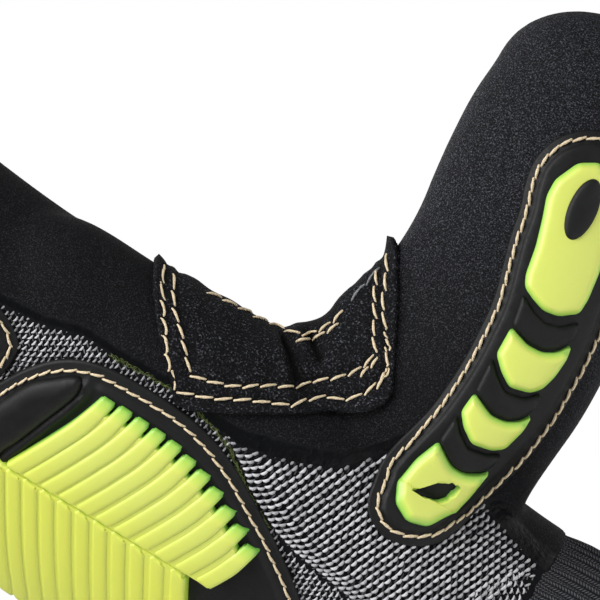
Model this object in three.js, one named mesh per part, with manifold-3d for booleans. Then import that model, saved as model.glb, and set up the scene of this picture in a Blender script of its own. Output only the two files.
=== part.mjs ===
// Left-hand cut-resistant winter work glove, filled as on a hand, in millimetres.
// +Z runs up the hand to the fingertips, -Y is the back of the hand, +X is the thumb's side.
// The origin is the centre of the cuff's mouth.
import * as THREE from 'three';
import { mergeVertices } from 'three/addons/utils/BufferGeometryUtils.js';
import Module from 'manifold-3d';

const wasm = await Module();
wasm.setup();

const radians = THREE.MathUtils.degToRad;
const { lerp, clamp, smoothstep } = THREE.MathUtils;

// Driving dimensions
const wall = 2.6; // knit and its thermal nap together
const seat = 0.3; // running gap that every sewn-on piece keeps to the glove
const crotchHeight = 133; // height of the fork between the thumb and the index finger
const thumbTurn = radians(50); // the thumb's plane is turned this far from the hand's towards the palm
const squareness = 2.25; // power of the palm's superellipse, 2 is a plain ellipse

// The hand's tube from the cuff's mouth to the finger forks.
// x: centre, wide and thick: half sizes of the section at height z.
const palmTable = [
  { z: 0, x: 0, wide: 43, thick: 30.5 },
  { z: 8, x: 0, wide: 42, thick: 30 },
  { z: 28, x: 0, wide: 38.5, thick: 28 },
  { z: 50, x: 0, wide: 35.5, thick: 26.5 },
  { z: 66, x: 0, wide: 34.5, thick: 26 },
  { z: 82, x: 0, wide: 37, thick: 25.5 },
  { z: 100, x: -1, wide: 41.5, thick: 24.5 },
  { z: 120, x: -2, wide: 45, thick: 23 },
  { z: 142, x: -3, wide: 46.5, thick: 21.5 },
  { z: 162, x: -3.5, wide: 47.5, thick: 20 },
  { z: 176, x: -4, wide: 47, thick: 18 },
  { z: 186, x: -4, wide: 45.5, thick: 14.5 },
];
const palmCap = 4; // how far the tube's closed end rises between the fingers

// x: where the finger leaves the hand, spread: its lean towards the thumb, top: height of its tip,
// wide and thick: half sizes halfway up, bend: how far its tip comes towards the palm.
const fingerTable = [
  { name: 'index', x: 30.5, spread: 4, fork: 189, top: 263, wide: 12, thick: 13.6, bend: 11 },
  { name: 'middle', x: 6.5, spread: 0, fork: 190, top: 273, wide: 12.1, thick: 13.8, bend: 13 },
  { name: 'ring', x: -17.5, spread: -4.5, fork: 189, top: 265, wide: 11.7, thick: 13.4, bend: 14 },
  { name: 'little', x: -39.5, spread: -11, fork: 184, top: 243, wide: 10.6, thick: 12.2, bend: 12 },
];
// rooted: how far a finger's tube starts below its fork, bendFrom: where it starts to bend below the fork,
// waist: how much narrower its root is, taper and flatten: how much its tip loses, tip: length of its cap.
const fingerShape = { rooted: 26, bendFrom: 6, waist: 0.07, taper: 0.06, flatten: 0.1, tip: 0.95 };

// The thumb and its web, in the thumb's plane. out: distance from the hand's axis, top and low: height of the
// section's edges above the fork, side: offset of its centre towards the back, bone and web: half thickness
// at the low and at the top edge.
const thumbTable = [
  { out: 14, top: 16, low: -62, side: 14, bone: 13, web: 11 },
  { out: 23, top: 15, low: -58, side: 17, bone: 17, web: 12.5 },
  { out: 30.5, top: 9, low: -55.5, side: 19, bone: 18.5, web: 12.5 },
  { out: 35.5, top: 0.5, low: -55, side: 20.5, bone: 19.2, web: 11 },
  { out: 42, top: -4.4, low: -55.2, side: 21.5, bone: 19.3, web: 10.5 },
  { out: 51, top: -7, low: -55.6, side: 22.5, bone: 19, web: 11 },
  { out: 61, top: -8.6, low: -55, side: 23.5, bone: 18.4, web: 12.5 },
  { out: 72, top: -8, low: -53.4, side: 24, bone: 17.8, web: 14.5 },
  { out: 84, top: -6.6, low: -50.4, side: 24, bone: 17.2, web: 16 },
  { out: 96, top: -6, low: -46.5, side: 23.5, bone: 16.2, web: 15.8 },
  { out: 105, top: -6.4, low: -42.6, side: 23, bone: 15, web: 14.8 },
];
const thumbCap = 15;

// Heights where the knitted tubes are joined
const forkHeight = 190.6; // the four fingers leave the hand
const cuffHeight = 68;
const hemHeight = 6;
const hemProud = 0.8;
const pastMouth = 6; // the hollow runs on past the mouth
const thumbRoot = 46; // distance from the hand's axis where the thumb's tube starts

// Bare knit on the back of the hand, seen from the back: x and z of its corners.
const knitOutline = [
  [34, 196], [37.2, 168], [37.6, 133], [40.5, 112], [39, 95], [32, 60],
  [-30, 60], [-38, 100], [-41.5, 145], [-41, 175], [-38, 196],
];

// Reinforcement over the crotch, in the thumb's plane: distance out and height above the fork of its corners.
const patchThick = 1.6;
const patchOutline = [[14.9, 13.6], [35.5, -23.5], [62, -8], [64, 4], [42, 37], [32.6, 33]];

// Impact guards
const baseHeight = 1.5;
const limeHeight = 2.2;

// Outline of the knuckle guard's base, a row for each height z.
const knuckleTable = [
  { z: 98, ulnar: -9, radial: 9 },
  { z: 103, ulnar: -18, radial: 16 },
  { z: 112, ulnar: -26, radial: 23.5 },
  { z: 122, ulnar: -33, radial: 29.5 },
  { z: 131, ulnar: -36.5, radial: 33.6 },
  { z: 141, ulnar: -39, radial: 35.6 },
  { z: 152, ulnar: -40, radial: 35.6 },
  { z: 160, ulnar: -39, radial: 34.6 },
  { z: 166, ulnar: -34, radial: 31.6 },
  { z: 170, ulnar: -27, radial: 26.5 },
  { z: 173.5, ulnar: -18, radial: 19 },
  { z: 176.5, ulnar: -7, radial: 10 },
];
// The smooth leaf-shaped pad over the knuckles
const padTable = [
  { x: 26.5, low: 162, high: 164.8 },
  { x: 19, low: 164, high: 169 },
  { x: 12, low: 166, high: 172 },
  { x: 4, low: 168.4, high: 173.6 },
  { x: -6, low: 166, high: 172.6 },
  { x: -16, low: 162.6, high: 169.4 },
  { x: -25, low: 159.4, high: 164.6 },
  { x: -30.5, low: 157.6, high: 160 },
];
const padHeight = 1.6;
// Ribs run in two fans that meet at a step just off the middle of the hand.
// top: height of the first rib, straight: length before it starts to climb, inset: from the base's edge.
const rib = {
  count: 11, top: 156.8, pitch: 4.05, wide: 2.9, high: 2.2,
  straight: 6, slope: 0.36, inset: 4.8, step: 4, gap: 0.6,
};

// Outline of the thumb guard's base in the thumb's plane, a row for each distance out.
const thumbGuardTable = [
  { out: 14, low: -41, high: -33 },
  { out: 17, low: -45, high: -30.5 },
  { out: 21.3, low: -47.2, high: -28.2 },
  { out: 28.2, low: -48.8, high: -27.8 },
  { out: 39.5, low: -50.8, high: -29.6 },
  { out: 48.2, low: -51.2, high: -30.2 },
  { out: 58, low: -51.1, high: -29.5 },
  { out: 65.5, low: -50.4, high: -27.8 },
  { out: 73.6, low: -48.6, high: -25.2 },
  { out: 82.8, low: -46, high: -22.6 },
  { out: 91, low: -43, high: -22.4 },
  { out: 96, low: -40, high: -24.8 },
  { out: 99.4, low: -36, high: -29 },
];
// The three lime chevrons: at each height z, where they start and end going out along the thumb.
const chevronTable = [
  [
    { z: -34.8, base: 20.5, tip: 33 },
    { z: -38, base: 18.6, tip: 31.5 },
    { z: -41.5, base: 18.2, tip: 30.6 },
    { z: -44.6, base: 20, tip: 31.4 },
    { z: -46.6, base: 24, tip: 34 },
  ],
  [
    { z: -35.6, base: 40.5, tip: 44.9 },
    { z: -38.5, base: 37.4, tip: 43.8 },
    { z: -41.5, base: 36.1, tip: 43.2 },
    { z: -44.6, base: 37.2, tip: 43.8 },
    { z: -47.5, base: 41, tip: 47.5 },
  ],
  [
    { z: -35.3, base: 53.4, tip: 59.4 },
    { z: -38.5, base: 50.6, tip: 58.4 },
    { z: -41.5, base: 49.2, tip: 58.1 },
    { z: -44.6, base: 50.4, tip: 58.9 },
    { z: -47.5, base: 55, tip: 62 },
  ],
];
// The long lime piece at the tip, and the black pill on it
const tipTable = [
  { out: 65.6, low: -42.4, high: -37.6 },
  { out: 68.4, low: -45.2, high: -33.2 },
  { out: 77, low: -44.4, high: -30.4 },
  { out: 85, low: -42.2, high: -28 },
  { out: 90, low: -40, high: -27.8 },
  { out: 94, low: -37.4, high: -29.4 },
  { out: 96, low: -35, high: -31.8 },
];
const pillTable = [
  { out: 79.4, low: -37.6, high: -35.8 },
  { out: 82, low: -39, high: -33.2 },
  { out: 85.5, low: -38, high: -31.8 },
  { out: 89, low: -36.2, high: -30.8 },
  { out: 91.4, low: -34, high: -32.2 },
];
const pillHeight = 1;

// Finger guards, measured along each finger from its root to its tip in parts of its length.
const fingerGuard = { start: -12, end: 22, high: 1.4, lime: 1.8, half: 7.6, edge: 2.6 };
// The index finger's guard starts lower and nearer the middle of the hand, and bends into its finger's line.
const indexRoot = { drop: 1.8, shift: -4.7, joins: 36 };
// share: place along the guard, wide: share of its full half width
const fingerGuardTable = [
  { share: 0, wide: 0.42 },
  { share: 0.06, wide: 0.8 },
  { share: 0.16, wide: 1 },
  { share: 0.4, wide: 0.98 },
  { share: 0.65, wide: 0.92 },
  { share: 0.86, wide: 0.86 },
  { share: 0.95, wide: 0.68 },
  { share: 1, wide: 0.36 },
];
// Its lime pieces: where each starts and ends, and how far its middle hangs towards the root
const fingerLimeTable = [
  { start: 0.1, end: 0.34, sag: 2 },
  { start: 0.42, end: 0.64, sag: 2 },
  { start: 0.72, end: 0.92, sag: 2 },
];

// Directions of the thumb's plane
const outward = new THREE.Vector3(Math.cos(thumbTurn), Math.sin(thumbTurn), 0);
const sideward = new THREE.Vector3(Math.sin(thumbTurn), -Math.cos(thumbTurn), 0);
const upward = new THREE.Vector3(0, 0, 1);

// A limb is a list of sections. Each has a centre, the two directions across it and its half sizes.
// Angle 0 looks along `back`, 90 degrees along `across`.
function section(centre, across, back, wide, thick, extra = {}) {
  return { centre, across, back, wide, thick, power: 2, web: null, rise: 0, grows: 1, ...extra };
}

const signedPower = (value, power) => Math.sign(value) * Math.abs(value) ** power;

// Point on a section at an angle, `grow` outside the section's own line.
function sectionPoint(s, angle, grow) {
  const p = 2 / s.power;
  const acrossPart = signedPower(Math.sin(angle), p);
  const backPart = signedPower(Math.cos(angle), p);
  // An egg-shaped section thins out towards its web edge, where acrossPart is -1.
  const thick = s.web === null ? s.thick : lerp(s.thick, s.web, smoothstep(-acrossPart, -0.75, 1));
  return s.centre.clone()
    .addScaledVector(s.across, (s.wide + grow * s.grows) * acrossPart)
    .addScaledVector(s.back, (thick + grow * s.grows) * backPart)
    .addScaledVector(s.along ?? upward, s.rise * grow);
}

function palmSections() {
  const across = new THREE.Vector3(1, 0, 0);
  const back = new THREE.Vector3(0, -1, 0);
  return palmTable.map((r) => section(
    new THREE.Vector3(r.x, 0, r.z), across, back, r.wide, r.thick, { power: squareness }));
}

function fingerSections(f) {
  const rows = [];
  const start = f.fork - fingerShape.rooted;
  const end = f.top - f.wide * fingerShape.tip;
  const lean = Math.tan(radians(f.spread));
  const steps = 5;
  for (let i = 0; i <= steps; i++) {
    const z = lerp(start, end, i / steps);
    const past = clamp((z - f.fork + fingerShape.bendFrom) / (f.top - f.fork), 0, 1);
    const slope = 2 * f.bend * past / (f.top - f.fork);
    const along = new THREE.Vector3(lean, slope, 1).normalize();
    const back = new THREE.Vector3(0, -1, slope).normalize();
    const across = new THREE.Vector3().crossVectors(along, back).normalize().negate();
    const swell = 1 - fingerShape.waist * (1 - smoothstep(z, f.fork - 8, f.fork + 14))
      - fingerShape.taper * smoothstep(past, 0.55, 1);
    rows.push(section(
      new THREE.Vector3(f.x + (z - f.fork) * lean, f.bend * past * past, z),
      across, back, f.wide * swell, f.thick * (1 - fingerShape.flatten * past), { along }));
  }
  return rows;
}

function thumbSections() {
  return thumbTable.map((r, i) => {
    const before = thumbTable[Math.max(i - 1, 0)];
    const after = thumbTable[Math.min(i + 1, thumbTable.length - 1)];
    const rise = (after.top + after.low - before.top - before.low) / 2 / (after.out - before.out);
    const along = outward.clone().addScaledVector(upward, i > 6 ? rise : 0).normalize();
    const across = new THREE.Vector3().crossVectors(sideward, along).normalize();
    if (across.z > 0) across.negate();
    const centre = new THREE.Vector3()
      .addScaledVector(outward, r.out)
      .addScaledVector(sideward, r.side)
      .addScaledVector(upward, crotchHeight + (r.top + r.low) / 2);
    return section(centre, across, sideward, (r.top - r.low) / 2, r.bone, { web: r.web, along });
  });
}

// Adds the rounded end of a limb: sections that shrink along a quarter circle.
function withCap(rows, length, steps = 4) {
  const last = rows[rows.length - 1];
  const along = last.along ?? upward;
  const cap = [];
  for (let k = 1; k < steps; k++) {
    const turn = Math.PI / 2 * k / steps;
    const shrink = Math.cos(turn);
    cap.push({
      ...last,
      along,
      centre: last.centre.clone().addScaledVector(along, length * Math.sin(turn)),
      wide: last.wide * shrink,
      thick: last.thick * shrink,
      web: last.web === null ? null : last.web * shrink,
      rise: Math.sin(turn),
      grows: shrink,
    });
  }
  const pole = { centre: last.centre.clone().addScaledVector(along, length), along };
  return { rows: rows.concat(cap), pole };
}

function solidOf(positions, faces) {
  let geometry = new THREE.BufferGeometry();
  const numbers = positions.flatMap((p) => p.toArray());
  geometry.setAttribute('position', new THREE.Float32BufferAttribute(numbers, 3));
  geometry.setIndex(faces.flat());
  geometry = mergeVertices(geometry, 1e-4);
  return new wasm.Manifold(new wasm.Mesh({
    numProp: 3,
    vertProperties: geometry.getAttribute('position').array,
    triVerts: new Uint32Array(geometry.getIndex().array),
  }));
}

// A closed tube through the sections, `grow` outside them, with a flat start and a pole at its end.
function tube({ rows, pole }, sides, grow) {
  const points = [];
  for (const row of rows) {
    for (let k = 0; k < sides; k++) points.push(sectionPoint(row, 2 * Math.PI * k / sides, grow));
  }
  const start = points.push(rows[0].centre.clone()) - 1;
  const end = points.push(pole.centre.clone().addScaledVector(pole.along, grow)) - 1;
  const faces = [];
  const lastRing = (rows.length - 1) * sides;
  for (let k = 0; k < sides; k++) {
    const next = (k + 1) % sides;
    for (let i = 0; i < rows.length - 1; i++) {
      const a = i * sides + k;
      const b = i * sides + next;
      faces.push([a, b, a + sides], [b, b + sides, a + sides]);
    }
    faces.push([start, next, k], [end, lastRing + k, lastRing + next]);
  }
  let solid = solidOf(points, faces);
  if (solid.volume() < 0) solid = solidOf(points, faces.map(([a, b, c]) => [a, c, b]));
  return solid;
}

const palm = withCap(palmSections(), palmCap, 2);
const thumb = withCap(thumbSections(), thumbCap);
const fingers = fingerTable.map((f) => ({
  ...f,
  limb: withCap(fingerSections(f), f.wide * fingerShape.tip),
}));

const palmSides = 32;

// The whole glove's form, `grow` outside its knit. A hollow is coarser and runs on past the cuff's mouth.
function gloveForm(grow, handSides = palmSides, thumbSides = 18, fingerSides = 14) {
  const hand = grow < 0
    ? { ...palm, rows: [{ ...palm.rows[0], centre: new THREE.Vector3(0, 0, -pastMouth) }, ...palm.rows] }
    : palm;
  let form = tube(hand, handSides, grow).add(tube(thumb, thumbSides, grow));
  for (const f of fingers) form = form.add(tube(f.limb, fingerSides, grow));
  return form;
}

function geometryOf(solid) {
  const made = solid.getMesh();
  const positions = new Float32Array(made.numVert * 3);
  for (let i = 0; i < made.numVert; i++) {
    const at = i * made.numProp;
    positions.set(made.vertProperties.subarray(at, at + 3), i * 3);
  }
  const geometry = new THREE.BufferGeometry();
  geometry.setAttribute('position', new THREE.BufferAttribute(positions, 3));
  geometry.setIndex(new THREE.BufferAttribute(made.triVerts, 1));
  return geometry;
}

// A solid from a three.js geometry.
function solidFrom(geometry) {
  geometry.deleteAttribute('normal');
  geometry.deleteAttribute('uv');
  const merged = mergeVertices(geometry.index ? geometry.toNonIndexed() : geometry, 1e-4);
  return new wasm.Manifold(new wasm.Mesh({
    numProp: 3,
    vertProperties: merged.getAttribute('position').array,
    triVerts: new Uint32Array(merged.getIndex().array),
  }));
}

// A box from its lowest to its highest corner, to cut with.
function block(low, high) {
  const size = new THREE.Vector3().subVectors(high, low);
  const box = new THREE.BoxGeometry(size.x, size.y, size.z);
  box.translate((low.x + high.x) / 2, (low.y + high.y) / 2, (low.z + high.z) / 2);
  return solidFrom(box);
}

const everywhere = 400;
const pieceSeat = 0.45; // flat-sided plates on a round surface need this much to keep apart
const sunk = 1.5; // a plate starts this deep, and the glove's own form is cut out of it
function slab(lowHeight, highHeight) {
  return block(
    new THREE.Vector3(-everywhere, -everywhere, lowHeight),
    new THREE.Vector3(everywhere, everywhere, highHeight));
}

// A view plane that outlines are drawn in: u and v are its directions, `towards` runs into the glove.
function viewPlane(u, v, towards, origin) {
  const start = towards.clone().multiplyScalar(-everywhere / 2);
  return {
    u, v, towards,
    point: (a, b) => start.clone().add(origin).addScaledVector(u, a).addScaledVector(v, b),
  };
}
const backView = viewPlane(
  new THREE.Vector3(1, 0, 0), upward, new THREE.Vector3(0, 1, 0), new THREE.Vector3());
// In the thumb's plane u is the distance from the hand's axis and v the height above the crotch.
const thumbView = viewPlane(
  outward, upward, sideward.clone().negate(), new THREE.Vector3(0, 0, crotchHeight));

// An outline in a view plane, extruded through the glove from `from` to `to` along the view.
function prism(view, outline, from = 0, to = everywhere) {
  const shape = new THREE.Shape(outline.map(([a, b]) => new THREE.Vector2(a, b)));
  const geometry = new THREE.ExtrudeGeometry(shape, { depth: to - from, bevelEnabled: false });
  const normal = new THREE.Vector3().crossVectors(view.u, view.v);
  const depthSign = normal.dot(view.towards) > 0 ? 1 : -1;
  const origin = view.point(0, 0).addScaledVector(view.towards, depthSign > 0 ? from : to);
  geometry.applyMatrix4(new THREE.Matrix4().makeBasis(view.u, view.v, normal));
  geometry.translate(origin.x, origin.y, origin.z);
  return solidFrom(geometry);
}

// A closed outline with its corners rounded by a curve through the middle of each side.
function rounded(corners, radius, steps = 4) {
  const points = [];
  corners.forEach((corner, i) => {
    const here = new THREE.Vector2(...corner);
    const before = new THREE.Vector2(...corners[(i + corners.length - 1) % corners.length]);
    const after = new THREE.Vector2(...corners[(i + 1) % corners.length]);
    before.sub(here);
    after.sub(here);
    const enter = here.clone().add(before.clone().setLength(Math.min(radius, before.length() * 0.45)));
    const leave = here.clone().add(after.clone().setLength(Math.min(radius, after.length() * 0.45)));
    const bend = new THREE.QuadraticBezierCurve(enter, here, leave);
    points.push(...bend.getPoints(steps).map((p) => [p.x, p.y]));
  });
  return points;
}

const outerForm = gloveForm(0);
const hollowSides = [20, 12, 8]; // sides of the hollow's palm, thumb and finger tubes
const innerForm = gloveForm(-wall, ...hollowSides);
const seatForm = gloveForm(seat);
const glovewall = outerForm.subtract(innerForm);

// Where the outer surface lies under a point of a view plane, with its normal.
const target = new THREE.Mesh(geometryOf(outerForm), new THREE.MeshBasicMaterial());
const ray = new THREE.Raycaster();
function surfacePoint(view, a, b) {
  ray.set(view.point(a, b), view.towards);
  return ray.intersectObject(target)[0]?.point;
}
function surfaceNormal(view, a, b) {
  const here = surfacePoint(view, a, b);
  const step = 2;
  // Past the outline's edge there is no surface, so the point itself stands in.
  const near = (da, db) => (surfacePoint(view, a + da, b + db) ?? here).clone();
  const alongU = near(step, 0).sub(near(-step, 0));
  const alongV = near(0, step).sub(near(0, -step));
  const normal = alongU.cross(alongV).normalize();
  return normal.dot(view.towards) > 0 ? normal.negate() : normal;
}

// A plate laid on the glove: rows of points between two edges, raised along the surface's normal.
// Each row has the two ends of a line in the view plane, and `columns` steps between them.
function plate(view, rows, columns, bottom, top) {
  const points = [];
  for (const level of [bottom, top]) {
    for (const row of rows) {
      for (let j = 0; j <= columns; j++) {
        const a = lerp(row.from[0], row.to[0], j / columns);
        const b = lerp(row.from[1], row.to[1], j / columns);
        points.push(surfacePoint(view, a, b).addScaledVector(surfaceNormal(view, a, b), level));
      }
    }
  }
  const wide = columns + 1;
  const layer = rows.length * wide;
  const faces = [];
  const quad = (a, b, c, d) => faces.push([a, b, c], [a, c, d]);
  for (let i = 0; i < rows.length - 1; i++) {
    for (let j = 0; j < columns; j++) {
      const k = i * wide + j;
      quad(k, k + wide, k + wide + 1, k + 1);
      quad(layer + k, layer + k + 1, layer + k + wide + 1, layer + k + wide);
    }
    const left = i * wide;
    const right = left + columns;
    quad(left, layer + left, layer + left + wide, left + wide);
    quad(right, right + wide, layer + right + wide, layer + right);
  }
  for (let j = 0; j < columns; j++) {
    const far = (rows.length - 1) * wide + j;
    quad(j, j + 1, layer + j + 1, layer + j);
    quad(far, layer + far, layer + far + 1, far + 1);
  }
  let solid = solidOf(points, faces);
  if (solid.volume() < 0) solid = solidOf(points, faces.map(([a, b, c]) => [a, c, b]));
  return solid;
}

// Colours and finishes
const finishes = {
  coat: { color: 0x1e1f23, roughness: 0.85 },
  knit: { color: 0x9a9a9e, roughness: 0.95 },
  patch: { color: 0x26272b, roughness: 0.95 },
  guard: { color: 0x202224, roughness: 0.55 },
  lime: { color: 0xc8e060, roughness: 0.4 },
};
const materials = Object.fromEntries(Object.entries(finishes).map(
  ([name, look]) => [name, new THREE.MeshStandardMaterial({ ...look, metalness: 0 })]));

const glove = new THREE.Group();
function addPiece(name, solid, finish) {
  const mesh = new THREE.Mesh(geometryOf(solid), materials[finish]);
  mesh.name = name;
  glove.add(mesh);
}

// Knitted and coated tubes

const cutForks = slab(forkHeight + seat / 2, everywhere);
const handAndCuff = glovewall.intersect(slab(0, forkHeight - seat / 2));
// Everything further out along the thumb than a distance from the hand's axis
const beyond = (distance) => block(
  new THREE.Vector3(distance, -everywhere, -everywhere),
  new THREE.Vector3(everywhere, everywhere, everywhere)).rotate([0, 0, THREE.MathUtils.radToDeg(thumbTurn)]);

addPiece('thumb', handAndCuff.intersect(beyond(thumbRoot + seat / 2)), 'coat');
glovewall.intersect(cutForks).decompose()
  .sort((a, b) => b.boundingBox().max[0] - a.boundingBox().max[0])
  .forEach((solid, i) => addPiece(`${fingerTable[i].name}_finger`, solid, 'coat'));

const hand = handAndCuff
  .subtract(beyond(thumbRoot - seat / 2))
  .intersect(slab(cuffHeight + seat / 2, everywhere));
const knitDepth = everywhere / 2 - 3; // it stops short of the sides
const knitPanel = prism(backView, knitOutline, 0, knitDepth);
const grownOutline = knitOutline.map(([a, b]) => [a + Math.sign(a) * seat, b]);
addPiece('hand_back_knit', hand.intersect(knitPanel), 'knit');
addPiece('coated_palm', hand.subtract(prism(backView, grownOutline, 0, knitDepth + seat)), 'coat');

addPiece('knit_cuff', handAndCuff.intersect(slab(hemHeight + seat / 2, cuffHeight - seat / 2)), 'knit');
addPiece('cuff_hem',
  tube(palm, palmSides, hemProud).subtract(gloveForm(-wall - hemProud, hollowSides[0]))
    .intersect(slab(0, hemHeight - seat / 2)),
  'knit');

// Crotch patch, folded over the web
addPiece('thumb_crotch_patch',
  gloveForm(seat + patchThick).subtract(seatForm).intersect(prism(thumbView, rounded(patchOutline, 4))),
  'patch');

// Guards: a black base laid on the glove and raised pieces laid on the base
function addGuard(name, view, high, baseRows, columns, pieces) {
  addPiece(`${name}_base`, plate(view, baseRows, columns, -sunk, high).subtract(seatForm), 'guard');
  for (const piece of pieces) {
    const under = high + pieceSeat + (piece.on ? piece.on.high + pieceSeat : 0);
    let solid = plate(view, piece.rows, piece.columns, under, under + piece.high);
    if (piece.fitted) solid = solid.subtract(plate(view, baseRows, columns, -sunk, under));
    addPiece(`${name}_${piece.name}`, solid, piece.finish);
  }
}

const rowsAcross = (table) => table.map((r) => ({ from: [r.ulnar, r.z], to: [r.radial, r.z] }));
const rowsOut = (table) => table.map((r) => ({ from: [r.out, r.low], to: [r.out, r.high] }));

// Where the knuckle guard's edge lies at a height, on the radial side for side = 1 and the ulnar for -1.
function knuckleEdge(height, side) {
  const i = knuckleTable.findIndex((r) => r.z > height);
  const low = knuckleTable[i - 1];
  const high = knuckleTable[i];
  const key = side > 0 ? 'radial' : 'ulnar';
  return lerp(low[key], high[key], (height - low.z) / (high.z - low.z));
}

function ribRows(height, side) {
  const end = knuckleEdge(height, side) - side * rib.inset;
  const bend = end - side * rib.straight;
  const middle = rib.step + side * rib.gap;
  const climb = (x) => height + rib.slope * Math.abs(bend - x);
  const stops = [end, ...[0, 1 / 3, 2 / 3, 1].map((share) => lerp(bend, middle, share))];
  return stops.map((x, i) => {
    const z = i ? climb(x) : height;
    return { from: [x, z - rib.wide / 2], to: [x, z + rib.wide / 2] };
  });
}

const ribs = [];
for (const [name, side, offset] of [['radial', 1, 0], ['ulnar', -1, rib.pitch / 2]]) {
  for (let i = 0; i < rib.count; i++) {
    ribs.push({
      name: `${name}_rib_${i + 1}`,
      finish: 'lime',
      high: rib.high,
      columns: 1,
      rows: ribRows(rib.top - offset - i * rib.pitch, side),
    });
  }
}
const pad = {
  name: 'pad',
  finish: 'guard',
  high: padHeight,
  columns: 3,
  rows: padTable.map((r) => ({ from: [r.x, r.low], to: [r.x, r.high] })),
};
addGuard('knuckle_guard', backView, baseHeight, rowsAcross(knuckleTable), 10, [pad, ...ribs]);

const tipPiece = { name: 'lime_4', finish: 'lime', high: limeHeight, columns: 3, rows: rowsOut(tipTable) };
addGuard('thumb_guard', thumbView, baseHeight, rowsOut(thumbGuardTable), 5, [
  ...chevronTable.map((rows, i) => ({
    name: `lime_${i + 1}`,
    finish: 'lime',
    high: limeHeight,
    columns: 2,
    fitted: i === 0, // it lies where the thumb runs into the hand
    rows: rows.map((r) => ({ from: [r.base, r.z], to: [r.tip, r.z] })),
  })),
  tipPiece,
  { name: 'pill', finish: 'guard', high: pillHeight, columns: 2, rows: rowsOut(pillTable), on: tipPiece },
]);

for (const f of fingers) {
  const lean = Math.tan(radians(f.spread));
  const root = f.name === 'index' ? indexRoot : { drop: 0, shift: 0, joins: 1 };
  const start = f.fork + fingerGuard.start - root.drop;
  const end = f.top - fingerGuard.end;
  const heightAt = (share) => lerp(start, end, share);
  const shiftAt = (z) => root.shift * (1 - smoothstep(z, start, start + root.joins));
  const middleAt = (z) => f.x + (z - f.fork) * lean + shiftAt(z);
  const lineAt = (z, half) => ({ from: [middleAt(z) - half, z], to: [middleAt(z) + half, z] });
  const half = fingerGuard.half * f.wide / fingerTable[1].wide;
  const limeHalf = half - fingerGuard.edge;
  addGuard(`${f.name}_guard`, backView, fingerGuard.high,
    fingerGuardTable.map((r) => lineAt(heightAt(r.share), half * r.wide)), 4,
    fingerLimeTable.map((r, i) => ({
      name: `lime_${i + 1}`,
      finish: 'lime',
      high: fingerGuard.lime,
      columns: 1,
      fitted: f.name === 'index', // its guard bends sideways
      rows: [-1, -0.5, 0, 0.5, 1].map((k) => {
        const hang = r.sag * (1 - k * k);
        const low = heightAt(r.start) - hang;
        const high = heightAt(r.end) - hang;
        return { from: [middleAt(low) + k * limeHalf, low], to: [middleAt(high) + k * limeHalf, high] };
      }),
    })));
}

export default glove;
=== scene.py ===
import math
from functools import partial

import bpy
import numpy as np
from mathutils import Matrix, Vector, geometry
from mathutils.bvhtree import BVHTree


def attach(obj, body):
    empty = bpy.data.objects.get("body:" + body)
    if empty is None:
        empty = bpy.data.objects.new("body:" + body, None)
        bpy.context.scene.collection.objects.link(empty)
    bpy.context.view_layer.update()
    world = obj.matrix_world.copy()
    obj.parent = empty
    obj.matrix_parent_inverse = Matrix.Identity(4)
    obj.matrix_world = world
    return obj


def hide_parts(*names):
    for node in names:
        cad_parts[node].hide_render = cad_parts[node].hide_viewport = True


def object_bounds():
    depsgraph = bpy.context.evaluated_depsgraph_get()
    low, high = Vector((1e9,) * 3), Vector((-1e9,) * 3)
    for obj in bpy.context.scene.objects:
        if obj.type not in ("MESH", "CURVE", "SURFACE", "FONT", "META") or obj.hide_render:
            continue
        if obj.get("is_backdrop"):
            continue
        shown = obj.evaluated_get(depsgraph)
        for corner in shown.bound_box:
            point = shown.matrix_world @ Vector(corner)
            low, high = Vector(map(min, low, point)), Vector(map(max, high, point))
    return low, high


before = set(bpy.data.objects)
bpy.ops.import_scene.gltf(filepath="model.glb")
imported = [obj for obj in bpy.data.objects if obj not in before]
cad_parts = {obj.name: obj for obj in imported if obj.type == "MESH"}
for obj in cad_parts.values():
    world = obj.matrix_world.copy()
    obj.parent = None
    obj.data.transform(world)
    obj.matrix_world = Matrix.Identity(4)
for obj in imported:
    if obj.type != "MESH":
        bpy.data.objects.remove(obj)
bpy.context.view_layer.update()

chance = np.random.default_rng(7)
mm = 0.001

# The glove stands as worn: +Z to the fingertips, -Y the back of the hand, +X the thumb's side.
# The thumb lies in a plane turned from the hand's plane, and the photo looks straight at that plane.
glove = {
    "thumbTurn": math.radians(50),
    "crotch": 133.0,         # mm above the mouth
    "wall": 2.6,
    "outerVoxel": 1.1,
    "innerVoxel": 2.8,
    "softening": 10,         # smoothing rounds over the joined forms
    "innerSoftening": 3,
    "shellFoot": 67.0,       # the hand starts here, the cuff ends just above
    "hollowFoot": 55,
    "power": 2.25,           # the hand's section is a little squarer than an ellipse
    "palmCap": 4,            # how far the hand's form is rounded over between the fingers
    "thumbCap": 15,
    "thumbBend": (61, 72),   # distances out between which the thumb's sections start to turn with it
}
outward = np.array([math.cos(glove["thumbTurn"]), math.sin(glove["thumbTurn"]), 0.0])
sideward = np.array([math.sin(glove["thumbTurn"]), -math.cos(glove["thumbTurn"]), 0.0])
upward = np.array([0.0, 0.0, 1.0])
towardThumb = np.array([1.0, 0, 0])
towardBack = np.array([0, -1.0, 0])


# Small helpers

def deselectAll():
    if bpy.context.object and bpy.context.object.mode != "OBJECT":
        bpy.ops.object.mode_set(mode="OBJECT")
    bpy.ops.object.select_all(action="DESELECT")


def takeUp(piece):
    deselectAll()
    piece.select_set(True)
    bpy.context.view_layer.objects.active = piece


def joinPieces(pieces, name):
    takeUp(pieces[0])
    for piece in pieces:
        piece.select_set(True)
    bpy.ops.object.join()
    joined = bpy.context.object
    joined.name = joined.data.name = name
    return joined


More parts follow.
